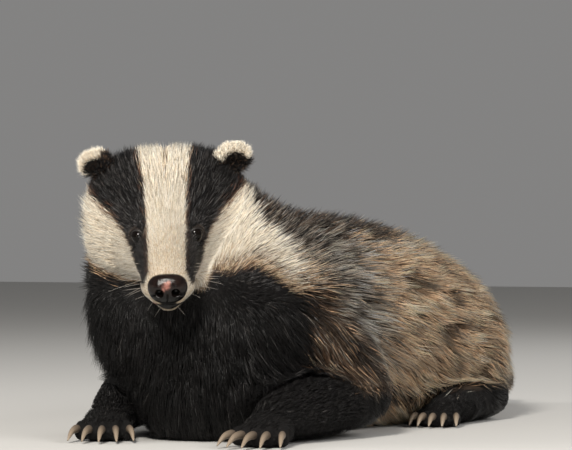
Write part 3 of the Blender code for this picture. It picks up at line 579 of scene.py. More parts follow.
def markings(places):
    """The share of each kind of hair at each place."""
    head = in_head(places)
    across, forward, height = head[:, 0], -head[:, 1], head[:, 2]
    angle = np.degrees(np.arctan2(abs(across), height - band_axis))
    half = along(forward, stripe_half)
    stripe = fade(abs(across), half + stripe_blur, half - stripe_blur) * in_area(places, "top of the muzzle")
    end = along(forward, band_end)
    band = fade(angle, end + band_blur, end - band_blur) * (1 - stripe) * in_area(places, "behind the nose")
    over_hem = (height - along(across, cheek_hem)) / along(abs(across), hem_softness)
    above_hem = fade(over_hem, *tan_edge)
    white = np.maximum(stripe, (1 - band) * fade(over_hem, *white_edge))
    outer_rust = rust_outer[0] * np.exp(-(((angle - end) / rust_outer[1]) ** 2)) * (1 - stripe)
    inner_rust = rust_inner[0] * np.exp(-(((abs(across) - half - rust_offset) / rust_inner[1]) ** 2))
    rust = np.maximum(outer_rust, inner_rust) * above_hem * in_area(places, "rusty edge")
    parting = parting_share * np.exp(-((across / parting_width) ** 2)) * in_area(places, "parting")
    hem_tan = above_hem * (1 - white) * (1 - band)
    white = white * (1 - in_area(places, "front of the lip"))
    muzzle_tan = 0.30 * stripe * in_area(places, "muzzle")

    back_of_neck = along(places[:, 2], ruff_edge) - places[:, 1]
    on_head = in_area(places, "head") * fade(back_of_neck, *ruff_blur)
    # Behind the ear the nape is painted darker, as painted shade.
    nape_painted_shade = fade(back_of_neck, *nape_shade_edge) * fade(back_of_neck, *nape_shade_end) * in_area(places, "neck")
    before_hem = along(places[:, 2], chest_hem) - places[:, 1]
    right_neck = in_area(places, "right neck")
    chest = fade(before_hem, *chest_blur) * (1 - right_neck)
    behind_hem = fade(before_hem, *shoulder_end)
    top = foot_top + foreleg_more * in_area(places, "foreleg")
    foot = fade(places[:, 2], top, top - foot_fade) * in_area(places, "foot")
    # Along the top of the back the coat is darker: partly its own darker fur, partly painted shade over the
    # top of the back.
    spine_dark_and_shade = in_area(places, "spine_dark_and_shade")
    body_black = np.maximum.reduce([chest, 0.8 * in_area(places, "belly"), foot, 0.58 * spine_dark_and_shade, 0.55 * nape_painted_shade])
    tail = in_area(places, "tail")
    shoulder = behind_hem * in_area(places, "shoulder")
    hem_band = 0.5 * behind_hem * in_area(places, "hem of the neck") * (1 - shoulder)
    flank = in_area(places, "flank") * (1 - shoulder)
    tan = np.maximum.reduce([0.82 * flank, hem_band, 0.5 * right_neck, 0.08 * shoulder])
    low = in_area(places, "low side") * (1 - shoulder)
    brown = np.maximum.reduce([2.4 * chest * (1 - chest), 0.35 * in_area(places, "rump"), 0.40 * right_neck])
    brown = np.maximum.reduce([brown, 0.80 * shoulder, 0.60 * spine_dark_and_shade, 0.20 * low])
    rest = (1 - body_black) * (1 - tail)

    black = blend(body_black * (1 - tail), (1 - white) * (1 - rust) * (1 - hem_tan), on_head)
    # A few black hairs, most in the face's black bands, have pale grey tips as painted glints on the black
    # fur.
    painted_glint = 0.02 + 0.16 * on_head * band
    head_white = white * (1 - rust) * (1 - parting) * (1 - muzzle_tan)
    head_tan = np.maximum.reduce([0.6 * hem_tan, 0.6 * parting * white, muzzle_tan])
    head_brown = np.maximum(0.4 * hem_tan, 0.4 * parting * white)
    shares = {
        "white": blend(tail * 0.55, head_white, on_head),
        "black": black * (1 - painted_glint),
        "rust": on_head * rust,
        "tan": blend(np.maximum(tan * rest, tail * 0.45), head_tan, on_head),
        "brown": blend(brown * (1 - tan) * rest, head_brown, on_head),
        "painted_glint": black * painted_glint,
    }
    kinds = kind_columns(shares)
    kinds[:, hair_kinds.index("grey")] = np.maximum(0, 1 - kinds.sum(axis=1))
    return kinds / kinds.sum(axis=1, keepdims=True)


# Colours of each kind of hair at its root, its middle and its tip. The roots are darker than the tips: partly
# the hair's own banding, partly painted shade deep in the coat.
hair_colours = {
    "white": ((0.50, 0.41, 0.30), (0.70, 0.62, 0.50), (0.84, 0.78, 0.67)),
    "black": ((0.005, 0.0045, 0.0045), (0.006, 0.0055, 0.0055), (0.011, 0.010, 0.010)),
    "rust": ((0.035, 0.018, 0.012), (0.10, 0.045, 0.028), (0.22, 0.12, 0.08)),
    "tan": ((0.17, 0.11, 0.07), (0.46, 0.30, 0.185), (0.88, 0.64, 0.42)),
    "grey": ((0.18, 0.145, 0.115), (0.048, 0.038, 0.031), (0.80, 0.69, 0.56)),
    "brown": ((0.012, 0.009, 0.007), (0.034, 0.021, 0.014), (0.23, 0.135, 0.080)),
    # Black hairs with pale tips, as painted glints.
    "painted_glint": ((0.005, 0.005, 0.005), (0.020, 0.019, 0.018), (0.19, 0.18, 0.175)),
}
colour_table = np.array([hair_colours[kind] for kind in hair_kinds])


def set_markings(mesh, colours):
    """Writes a colour for each point of a mesh, which the hair and skin materials read."""
    layer = mesh.color_attributes.new("markings", "FLOAT_COLOR", "POINT")
    layer.data.foreach_set("color", np.column_stack([colours, np.ones(len(colours))]).ravel())


def marked_finish(name, specular, mottle, shades, roughness, relief=None, cells=None):
    """A finish in the colours of the markings, made lighter and darker by a fine mottle.

    The mottle is its scale and detail. The relief, its strength and depth, follows the mottle or, where
    their scale is given, round cells."""
    finish = bpy.data.materials.new(name)
    finish.use_nodes = True
    nodes, links = finish.node_tree.nodes, finish.node_tree.links
    shader = nodes["Principled BSDF"]
    shader.inputs["Specular IOR Level"].default_value = specular
    marks = nodes.new("ShaderNodeAttribute")
    marks.attribute_name = "markings"
    mottling = nodes.new("ShaderNodeTexNoise")
    mottling.inputs["Scale"].default_value = mottle[0]
    mottling.inputs["Detail"].default_value = mottle[1]
    shading = nodes.new("ShaderNodeMapRange")
    for socket, value in shades.items():
        shading.inputs[socket].default_value = value
    tinted = nodes.new("ShaderNodeVectorMath")
    tinted.operation = "SCALE"
    links.new(mottling.outputs["Fac"], shading.inputs["Value"])
    links.new(marks.outputs["Color"], tinted.inputs[0])
    links.new(shading.outputs["Result"], tinted.inputs["Scale"])
    links.new(tinted.outputs["Vector"], shader.inputs["Base Color"])
    if isinstance(roughness, tuple):
        gloss = nodes.new("ShaderNodeMapRange")
        gloss.inputs["To Min"].default_value, gloss.inputs["To Max"].default_value = roughness
        links.new(mottling.outputs["Fac"], gloss.inputs["Value"])
        links.new(gloss.outputs["Result"], shader.inputs["Roughness"])
    else:
        shader.inputs["Roughness"].default_value = roughness
    if relief:
        bump = nodes.new("ShaderNodeBump")
        bump.inputs["Strength"].default_value, bump.inputs["Distance"].default_value = relief
        height = mottling.outputs["Fac"]
        if cells:
            pebbles = nodes.new("ShaderNodeTexVoronoi")
            pebbles.inputs["Scale"].default_value = cells
            height = pebbles.outputs["Distance"]
        links.new(height, bump.inputs["Height"])
        links.new(bump.outputs["Normal"], shader.inputs["Normal"])
    return finish


# The skin is painted a little darker than the roots of the hairs, as painted shade under the coat.
undercoat_shade_share = 0.75
set_markings(skin.data, undercoat_shade_share * markings(skin_places) @ colour_table[:, 0])
undercoat = marked_finish(
    "undercoat", 0.2, (900, 4), {"To Min": 0.55, "To Max": 1.3}, 0.8, relief=(0.6, 0.0008)
)
skin.data.materials.append(undercoat)

# The skin's own unwrap, which the hairs take their places from too
for other in bpy.context.scene.objects:
    other.select_set(False)
bpy.context.view_layer.objects.active = skin
skin.select_set(True)
skin.data.uv_layers.new(name="OFBake")
bpy.ops.object.mode_set(mode="EDIT")
bpy.ops.mesh.select_all(action="SELECT")
bpy.ops.uv.smart_project(angle_limit=math.radians(66), island_margin=0.002)
bpy.ops.object.mode_set(mode="OBJECT")

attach(skin, "root")
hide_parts("head", "jaw", "neck", "torso", "tail")
for limb in ("foreleg", "forepaw", "hind_leg", "hind_paw"):
    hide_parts(f"{limb}_left", f"{limb}_right")

# Ears
# Each ear is a small rounded cup of thin gristle and skin, open to the front, that stands on the crown's
# outer corner. It is made from a ball whose front is pressed in.
ear_root = (0.0545, 0.0600, 0.0280)
ear_facing = math.radians(24)
ear_lean = {1: math.radians(28), -1: math.radians(36)}
ear_lift = 0.0065
ear_radii = {1: (0.0148, 0.0064, 0.0112), -1: (0.0150, 0.0064, 0.0088)}
ear_cup_share = 0.79
ear_cup_floor = 0.0012
ear_cup_edge = (1.0, 0.55)
# The white rim: how far its foot slants, the height over which it begins, and the share of the radii
ear_white_slant, ear_white_foot, ear_white_rim = 0.35, (-0.001, 0.004), (0.66, 0.90)
side_words = {1: "left", -1: "right"}


def ear_place(side):
    x, y, z = ear_root
    return (
        head_place
        @ Matrix.Translation((side * x, y, z))
        @ Matrix.Rotation(side * ear_facing, 4, "Z")
        @ Matrix.Rotation(side * ear_lean[side], 4, "Y")
        @ Matrix.Translation((0, 0, ear_lift))
    )


def join_rings(form, rings, wraps):
    """Faces from ring to ring, unwrapped as rows."""
    around = len(rings[0])
    for row, (near, far) in enumerate(zip(rings, rings[1:])):
        for step in range(around):
            face = form.faces.new((near[step - 1], near[step], far[step], far[step - 1]))
            corners = ((step, row), (step + 1, row), (step + 1, row + 1), (step, row + 1))
            for loop, (u, v) in zip(face.loops, corners):
                loop[wraps].uv = (u / (around + 1), v / len(rings))


def smooth_mesh(form, name):
    """The form as a smooth mesh, with its faces turned outwards."""
    bmesh.ops.recalc_face_normals(form, faces=form.faces)
    mesh = bpy.data.meshes.new(name)
    form.to_mesh(mesh)
    form.free()
    mesh.shade_smooth()
    return mesh


def round_grid(name, radii, around, ring_count):
    """A ball of rings round the Y axis, the first and last drawn together, with an unwrap of its own."""
    ball = bmesh.new()
    wraps = ball.loops.layers.uv.new("OFBake")
    turns = 2 * np.pi * np.arange(around) / around
    rings = []
    for lean in np.linspace(0.02, math.pi - 0.02, ring_count):
        ring = np.column_stack(
            (np.sin(lean) * np.sin(turns), -np.cos(lean) * np.ones(around), np.sin(lean) * np.cos(turns))
        )
        rings.append([ball.verts.new(point) for point in ring * np.array(radii)])
    join_rings(ball, rings, wraps)
    ball.faces.new(rings[0])
    ball.faces.new(reversed(rings[-1]))
    return placed(name, smooth_mesh(ball, name))


def ear_shares(places, side):
    """Shares of each kind of hair on an ear: a white rim and tip, and black below and inside."""
    local = moved(places, ear_place(side).inverted())
    rim = np.hypot(local[:, 0] / ear_radii[side][0], local[:, 2] / ear_radii[side][2])
    white = fade(local[:, 2] - local[:, 0] * ear_white_slant, *ear_white_foot) * fade(rim, *ear_white_rim)
    return kind_columns({"white": white, "black": 0.85 * (1 - white), "brown": 0.15 * (1 - white)})


ears = {}
for side, word in side_words.items():
    wide, _, high = ear_radii[side]
    ear = round_grid(f"ear_cup_{word}", ear_radii[side], 64, 40)
    ear_places = places_of(ear.data)
    inward = np.hypot(ear_places[:, 0] / wide, ear_places[:, 2] / high) / ear_cup_share
    pressed = (ear_places[:, 1] < 0) & (inward < 1)
    share = fade(inward[pressed], *ear_cup_edge)
    ear_places[pressed, 1] = blend(ear_places[pressed, 1], ear_cup_floor, share)
    ear_places = moved(ear_places, ear_place(side))
    ear.data.vertices.foreach_set("co", ear_places.ravel())
    ear.data.update()
    # The ear's skin too is painted darker than the roots of its hairs, as painted shade under the coat.
    set_markings(ear.data, undercoat_shade_share * ear_shares(ear_places, side) @ colour_table[:, 0])
    ear.data.materials.append(undercoat)
    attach(ear, "root")
    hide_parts(f"ear_{word}")
    ears[side] = ear

# Eyes
# Small, wet, dark brown balls with a cornea that stands a little proud. They sit deep between the lids.
# Each is turned outwards and up, and the brown ring is only just lighter than the pupil.
eye_wet = bpy.data.materials.new("dark wet eye")
eye_wet.use_nodes = True
nodes, links = eye_wet.node_tree.nodes, eye_wet.node_tree.links
shader = nodes["Principled BSDF"]
shader.inputs["Specular IOR Level"].default_value = 0.16
shader.inputs["Roughness"].default_value = 0.03
eye_wrap = nodes.new("ShaderNodeUVMap")
eye_wrap.uv_map = "OFBake"
eye_split = nodes.new("ShaderNodeSeparateXYZ")
eye_rings = nodes.new("ShaderNodeValToRGB")
eye_rings.color_ramp.elements[0].color = (0.002, 0.0015, 0.001, 1)
eye_rings.color_ramp.elements[0].position = 0.10
eye_rings.color_ramp.elements[1].color = (0.003, 0.0022, 0.0018, 1)
eye_rings.color_ramp.elements[1].position = 0.36
iris = eye_rings.color_ramp.elements.new(0.14)
iris.color = (0.0035, 0.0024, 0.0018, 1)
iris_edge = eye_rings.color_ramp.elements.new(0.27)
iris_edge.color = (0.003, 0.002, 0.0015, 1)
fibres = nodes.new("ShaderNodeTexNoise")
fibres.inputs["Scale"].default_value = 60
fibre_bump = nodes.new("ShaderNodeBump")
fibre_bump.inputs["Strength"].default_value = 0.05
fibre_bump.inputs["Distance"].default_value = 0.0001
links.new(eye_wrap.outputs["UV"], eye_split.inputs[0])
links.new(eye_split.outputs["Y"], eye_rings.inputs["Fac"])
links.new(eye_rings.outputs["Color"], shader.inputs["Base Color"])
links.new(fibres.outputs["Fac"], fibre_bump.inputs["Height"])
links.new(fibre_bump.outputs["Normal"], shader.inputs["Normal"])

cornea_rise = 0.05
cornea_spread = 0.55
for side, word in side_words.items():
    ball = round_grid(f"eyeball_{word}", (eye_radius, eye_radius, eye_radius), 48, 40)
    ball_places = places_of(ball.data)
    lean = np.arccos(np.clip(-ball_places[:, 1] / eye_radius, -1, 1))
    ball_places *= (1 + cornea_rise * np.exp(-((lean / cornea_spread) ** 2)))[:, None]
    ball.data.vertices.foreach_set("co", moved(ball_places, eye_place(side)).ravel())
    ball.data.update()
    ball.data.materials.append(eye_wet)
    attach(ball, "root")
    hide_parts(f"eye_{word}")

# Lids
# A thin, dark rolled rim round each eye. The lids lie on the ball, open as a soft oval that is wider than
# it is high, and run out under the short hair of the face.
lid_half_opening = (72, 66)
# From the rim outwards: degrees beyond the opening, and height above the ball
lid_rows = (
    (-3, -0.0004),
    (0, 0.0003),
    (2, 0.0008),
    (6, 0.0012),
    (10, 0.0011),
    (13, 0.0006),
    (17, 0.0011),
    (23, 0.0014),
    (31, 0.0010),
    (40, 0.0000),
    (48, -0.0012),
)
lid_steps = 64
lid_colour = np.array((0.010, 0.0075, 0.0065))

bare_skin = marked_finish(
    "dark bare skin",
    0.5,
    (8, 5),
    {"To Min": 0.55, "To Max": 1.55},
    (0.34, 0.58),
    relief=(0.45, 0.0003),
    cells=22,
)

lids = {}
for side, word in side_words.items():
    lid = bmesh.new()
    wraps = lid.loops.layers.uv.new("OFBake")
    rings = []
    for beyond, rise in lid_rows:
        ring = []
        for turn in 2 * np.pi * np.arange(lid_steps) / lid_steps:
            half = 1 / math.hypot(math.sin(turn) / lid_half_opening[0], math.cos(turn) / lid_half_opening[1])
            lean = math.radians(half + beyond)
            out = Vector((math.sin(lean) * math.sin(turn), -math.cos(lean), math.sin(lean) * math.cos(turn)))
            ring.append(lid.verts.new(eye_place(side) @ (out * (eye_radius + rise))))
        rings.append(ring)
    join_rings(lid, rings, wraps)
    lid_mesh = smooth_mesh(lid, f"lids_{word}")
    set_markings(lid_mesh, np.tile(lid_colour, (len(lid_mesh.vertices), 1)))
    lid_mesh.materials.append(bare_skin)
    lids[side] = placed(f"lids_{word}", lid_mesh)
    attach(lids[side], "root")

# Nose
# A broad, wet, bare pad across the end of the muzzle, of dark brown pebbled skin with one pinkish spot. The
# nostrils are round holes that run out sideways as slits, and a groove parts the pad below them.
nose_radii = (0.0165, 0.0098, 0.0125)
nose_place = (
    head_place
    @ Matrix.Translation((0, -0.0592, -0.0160))
    @ Matrix.Rotation(math.radians(-12), 4, "X")
)
nose_taper = 0.16
nostril_across, nostril_height = 0.0066, -0.0012
nostril_half, nostril_depth = 0.0029, 0.0062
slit_start, slit_end = (0.0085, -0.0022), (0.0148, -0.0048)
slit_half, slit_depth = 0.0010, 0.0026
groove_half, groove_depth = 0.0007, 0.0012
wing_across, wing_height, wing_rise = 0.0085, 0.0036, 0.0007
wing_half = (0.0030, 0.0024)
nose_square = 2.7
nose_brown = np.array((0.0065, 0.0034, 0.0026))
nose_black = np.array((0.0015, 0.0012, 0.0011))
nose_pink = np.array((0.17, 0.072, 0.056))
# The pink spot is three patches that run together: across, height and half width.
pink_patches = ((-0.0010, 0.0052, 0.0032), (-0.0031, 0.0022, 0.0018), (0.0012, 0.0076, 0.0017))

wet_skin = marked_finish(
    "wet pebbled skin",
    0.28,
    (9, 4),
    {"From Min": 0.35, "From Max": 0.65, "To Min": 0.35, "To Max": 1.7},
    (0.03, 0.13),
    relief=(0.35, 0.0004),
    cells=36,
)

nose = round_grid("nose_pad", nose_radii, 176, 120)
nose_places = places_of(nose.data)
shares = abs(nose_places[:, ::2]) / np.array(nose_radii[::2])
squarer = (shares**nose_square).sum(axis=1) ** (1 / nose_square)
nose_places[:, ::2] *= (np.hypot(*shares.T) / np.maximum(squarer, 1e-6))[:, None]
nose_places[:, 0] *= 1 - nose_taper * np.maximum(0, -nose_places[:, 2] / nose_radii[2])
across, height = nose_places[:, 0], nose_places[:, 2]
facing = fade(-nose_places[:, 1], -0.001, 0.004)
slit_way = np.array(slit_end) - np.array(slit_start)
on_slit = (abs(across) - slit_start[0]) * slit_way[0] + (height - slit_start[1]) * slit_way[1]
on_slit = np.clip(on_slit / (slit_way @ slit_way), 0, 1)
from_slit = np.hypot(
    abs(across) - slit_start[0] - on_slit * slit_way[0], height - slit_start[1] - on_slit * slit_way[1]
)
from_nostril = np.hypot(abs(across) - nostril_across, height - nostril_height)
pit = nostril_depth * np.exp(-((from_nostril / nostril_half) ** 4))
pit = np.maximum(pit, slit_depth * np.exp(-((from_slit / slit_half) ** 2)))
pit += groove_depth * np.exp(-((across / groove_half) ** 2)) * fade(height, 0.0005, -0.003)
on_wing = ((abs(across) - wing_across) / wing_half[0]) ** 2 + ((height - wing_height) / wing_half[1]) ** 2
pit -= wing_rise * np.exp(-on_wing)
nose_places[:, 1] += pit * facing
pinkness = np.zeros(len(across))
for spot_across, spot_height, spot_half in pink_patches:
    from_spot = np.hypot(across - spot_across, height - spot_height) / spot_half
    pinkness = np.maximum(pinkness, np.exp(-(from_spot**4)) * facing)
# The lower half of the pad and its nostrils, slits and groove are painted near black, as painted shade.
nose_painted_shade = np.maximum(fade(height, 0.002, -0.006), fade(pit, 0.0008, 0.003))
nose_colours = blend(nose_brown, nose_black, nose_painted_shade[:, None])
nose_colours = blend(nose_colours, nose_pink, pinkness[:, None])
nose.data.vertices.foreach_set("co", moved(nose_places, nose_place).ravel())
nose.data.update()
set_markings(nose.data, nose_colours)
nose.data.materials.append(wet_skin)
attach(nose, "root")
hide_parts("nose")

# Lips
# Two thin, dark, moist rolls of skin along the line of the mouth, which meet under the nose and run back to
# its corners. They lie on the muzzle and show as a dark line between the white hairs.
mouth_axis = (0.0, -0.030)
mouth_half_turn = 120
mouth_front_height, mouth_corner_height = -0.0338, -0.0300
# The lips are found from this far out of the muzzle's middle.
mouth_reach = 0.045
lip_steps, lip_sides = 33, 10
lip_radius = 0.0009
lip_parting = 0.0009
lower_lip_swell, lower_lip_turn = 0.0016, 11
pink_lip_turn, pink_lip_half = -27, 7
skin_tree = BVHTree.FromObject(skin, bpy.context.evaluated_depsgraph_get())
head_turn = head_place.to_3x3()
for name, parting in (("upper_lip", lip_parting), ("lower_lip", -lip_parting)):
    line = []
    swell = lower_lip_swell if name == "lower_lip" else 0
    for turn in np.radians(np.linspace(-mouth_half_turn, mouth_half_turn, lip_steps)):
        out = Vector((math.sin(turn), -math.cos(turn), 0))
        to_corner = abs(turn) / math.radians(mouth_half_turn)
        level = mouth_front_height + (mouth_corner_height - mouth_front_height) * to_corner**2
        start = Vector((*mouth_axis, level + parting * (1 - to_corner**3))) + out * mouth_reach
        hit = skin_tree.ray_cast(head_place @ start, head_turn @ -out)[0]
        fuller = swell * math.exp(-((math.degrees(turn) / lower_lip_turn) ** 2))
        line.append((*hit, lip_radius * (1 - 0.6 * to_corner) + fuller))
    roll = bmesh.new()
    add_limb(roll, line, 0.0, lip_sides)
    roll_mesh = smooth_mesh(roll, name)
    lip_rows = in_head(places_of(roll_mesh))
    lip_turns = np.degrees(np.arctan2(lip_rows[:, 0] - mouth_axis[0], -(lip_rows[:, 1] - mouth_axis[1])))
    pinkness = np.exp(-(((lip_turns - pink_lip_turn) / pink_lip_half) ** 4))[:, None] * (name == "upper_lip")
    set_markings(roll_mesh, blend(nose_black, nose_pink, pinkness))
    roll_mesh.materials.append(wet_skin)
    lip = placed(name, roll_mesh)
    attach(lip, "root")

# Claws
# Five long, curved digging claws on each paw, of grey-brown horn that is paler at the tips. Each is
# deeper than it is wide and grows out of the end of its toe.
# Each row: share of the reach, share of the paw's height, and half width
claw_rows = (
    (-0.10, 0.33, 0.0029),
    (0.20, 0.37, 0.0029),
    (0.62, 0.32, 0.0023),
    (0.90, 0.19, 0.0015),
    (1.06, 0.09, 0.0006),
)
claw_sides = 14
claw_depth = 1.25
# The claws start at this share of the paw's length, and the outer ones are shorter by this share.
claw_start, claw_shorter = 0.15, 0.22
claw_clearance = 0.0004
claw_root, claw_tip = np.array((0.05, 0.037, 0.028)), np.array((0.21, 0.165, 0.12))

horn = marked_finish(
    "claw horn", 0.5, (60, 4), {"To Min": 0.65, "To Max": 1.35}, (0.30, 0.55), relief=(0.3, 0.0003)
)

for paw, (_, length, _, height, reach, _) in paws.items():
    claws = bmesh.new()
    paleness = []
    for toe in range(toe_count):
        place, spread = toe_place(paw, toe)
        claw_reach = reach * (1 - claw_shorter * spread**2)
        rings = []
        for out, up, half in eased_rows(claw_rows, 4):
            middle = Vector((0, -length * claw_start - claw_reach * out, height * up))
            turns = [2 * math.pi * k / claw_sides for k in range(claw_sides)]
            around = [Vector((math.sin(t), 0, claw_depth * math.cos(t))) * half for t in turns]
            rings.append([place @ (middle + offset) for offset in around])
            paleness += [max(0, min(1, out))] * claw_sides
        add_loft(claws, rings)
    for point in claws.verts:
        point.co.z = max(point.co.z, claw_clearance)
    claw_mesh = smooth_mesh(claws, f"claws_{paw}")
    set_markings(claw_mesh, blend(claw_root, claw_tip, np.array(paleness)[:, None]))
    claw_mesh.materials.append(horn)
    claw_set = placed(f"claws_{paw}", claw_mesh)
    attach(claw_set, "root")
    node = paw.replace("forepaw", "foreclaw").replace("hind_paw", "hind_claw")
    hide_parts(*[f"{node}_{number}" for number in range(1, toe_count + 1)])

# Coat
# Every hair is a closed, tapered blade that is rooted in the skin, lies back along the coat and rises to
# its outside. Hairs lean together in locks, are shortest on the nose and longest on the flanks.
coat_chance = np.random.default_rng(7)
hair_sink = 0.0006
hair_fullness = 0.7
# Half the width of a hair's patch on the unwrap, and how far the hairs stay inside the box of the solids
patch_half = 0.0015
box_gap = 0.0004
nose_front = head_place @ Vector((0, -0.072, -0.020))
# Length of the head's hair by how far forward of the eyes it grows
head_hair = (
    (-0.130, 0.030),
    (-0.090, 0.023),
    (-0.050, 0.016),
    (-0.020, 0.0110),
    (0.010, 0.0072),
    (0.060, 0.0036),
)
body_hair = 0.038
chest_hair = 0.030
leg_hair = ((0.0, 0.008), (0.020, 0.011), (0.050, 0.018), (0.090, 0.028))
tail_hair = 0.036
# The underside of the head, where its coat meets the chest's: forward of the eyes and height
head_underside = (
    (0.060, -0.034),
    (0.030, -0.047),
    (0.000, -0.056),
    (-0.030, -0.066),
    (-0.060, -0.075),
    (-0.110, -0.070),
)
# How far under that edge the head's hair has ended, and where it is whole
underside_blur = (-0.014, -0.002)
# Areas that only the hairs need
areas |= {
    "head hair": (("forward", -0.135, -0.095),),
    "head lie": (("forward", -0.140, -0.080), ("back", -0.130, -0.190)),
    "cheek": (
        ("across", 0.035, 0.062),
        ("above", 0.024, -0.010),
        ("forward", 0.010, -0.020),
        ("forward", -0.130, -0.100),
    ),
    "chin": (("above", -0.034, -0.040), ("forward", 0.015, 0.030)),
    "under the jaw": (("above", -0.036, -0.050),),
    "parted crown": (("forward", -0.026, -0.050), ("across", 0.014, 0.003)),
    "crown": (("above", 0.022, 0.036), ("forward", 0.000, -0.030)),
    "thick fur of the face": (("forward", -0.075, -0.040),),
    "low leg": (("up", 0.075, 0.050),),
    "breast": (("back", -0.140, -0.200),),
    "tail hair": (("back", 0.250, 0.290),),
    "hind foot hair": (("up", 0.034, 0.022), ("out", 0.085, 0.095), ("back", 0.110, 0.080)),
    "hind foot lie": (
        ("up", 0.040, 0.028),
        ("out", 0.085, 0.095),
        ("back", -0.020, 0.000),
        ("back", 0.110, 0.090),
    ),
}
# The hair round an eye is short as far as this from its centre.
eye_clearing = (0.020, 0.009)
# No hair grows on the ball: within this distance of its centre and these degrees of the way it looks
bare_reach, bare_angle = 0.0145, 84
# Nor on the soles, under this height
bare_sole = 0.0012
# The width of the shortest hairs, and how much wider they are for each metre of length
least_width, more_width = 0.00028, 0.013
# Spreads of the lengths, widths, lean and kinds of the hairs
length_spread, width_spread, lean_spread, kind_spread = (0.72, 1.18), (0.8, 1.2), 0.14, 0.06
# How far towards the coat's outside the middles and tips rise, as shares
middle_rise, tip_rise, tip_spread = (0.45, 0.75), 0.55, 0.50
# One hair in so many leads a lock.
lock_size = 12
# Between these lengths hairs come to follow their lock in full.
lock_lengths = (0.004, 0.045)
# Lengths over which the hair turns from the face's to the body's, and over which it grows shaggy
body_lengths = (0.018, 0.032)
shaggy_lengths = (0.022, 0.032)
# The pieces of the face end this far behind the eyes, and no piece has more triangles than this.
face_end = 0.100
piece_triangles = 190000
# Hair of the cheeks is longer, and hair round the eyes shorter, by these shares.
cheek_longer, eye_shorter = 0.6, 0.62
# How many hairs lie over each other in the shortest fur, and how many more for each metre of length
least_layers, more_layers = 3.4, 62
leg_thinner, face_thicker = 0.40, 0.5
# How far tips stray outwards on the cheeks, in long fur and on the crown, and how flat the legs' fur is
shaggy_cheek, shaggy_fur, shaggy_crown, flat_leg = 0.85, 0.50, 0.60, 0.55
# How strongly the shortest hairs follow their lock, and how much more strongly the longest do
least_pull, more_pull = 0.12, 0.5
# How much locks differ in shade on the face, how much more on the body, and how light the dark ones are
face_shades, more_body_shades, dark_shade = 0.05, 0.36, 0.24
# How strongly hair turns round the eyes, and away from the middle of the crown
round_eyes, off_crown = 1.4, 0.32
# How steeply hair falls on the sides, on the rump and on the breast
side_fall, rump_fall, breast_fall = 0.32, 0.8, 1.8
under_jaw_way = np.array((0.2, 0.1, -1.2))
hind_foot_way = np.array((0, -1, -0.1))
tail_way = np.array((0.05, 0.94, -0.33))
# The share of the body's locks that are dark
dark_locks = 0.19
# Hairs under this length are straight.
straight_hair = 0.0125

hair_finish = marked_finish("badger hair", 0.28, (650, 3), {"To Min": 0.72, "To Max": 1.22}, (0.30, 0.52))


def hair_roots(mesh, hairs_per_area, chance):
    """Random roots on a mesh, so many to the square metre, with their normals and places on the unwrap."""
    mesh.calc_loop_triangles()
    count = len(mesh.loop_triangles)
    corners, loops = np.empty(count * 3, np.int32), np.empty(count * 3, np.int32)
    mesh.loop_triangles.foreach_get("vertices", corners)
    mesh.loop_triangles.foreach_get("loops", loops)
    corners, loops = corners.reshape(-1, 3), loops.reshape(-1, 3)
    places = places_of(mesh)
    normals = np.empty(len(mesh.vertices) * 3)
    mesh.vertices.foreach_get("normal", normals)
    normals = normals.reshape(-1, 3)
    wraps = np.empty(len(mesh.loops) * 2)
    mesh.uv_layers["OFBake"].data.foreach_get("uv", wraps)
    wraps = wraps.reshape(-1, 2)
    first, second, third = places[corners[:, 0]], places[corners[:, 1]], places[corners[:, 2]]
    wanted = np.linalg.norm(np.cross(second - first, third - first), axis=1) / 2
    wanted *= hairs_per_area[corners].mean(axis=1)
    picked = chance.choice(count, int(wanted.sum()), p=wanted / wanted.sum())
    one, two = chance.random(len(picked)), chance.random(len(picked))
    over = one + two > 1
    one[over], two[over] = 1 - one[over], 1 - two[over]
    shares = np.column_stack((1 - one - two, one, two))[:, :, None]
    return (
        (places[corners[picked]] * shares).sum(axis=1),
        unit((normals[corners[picked]] * shares).sum(axis=1)),
        (wraps[loops[picked]] * shares).sum(axis=1),
    )


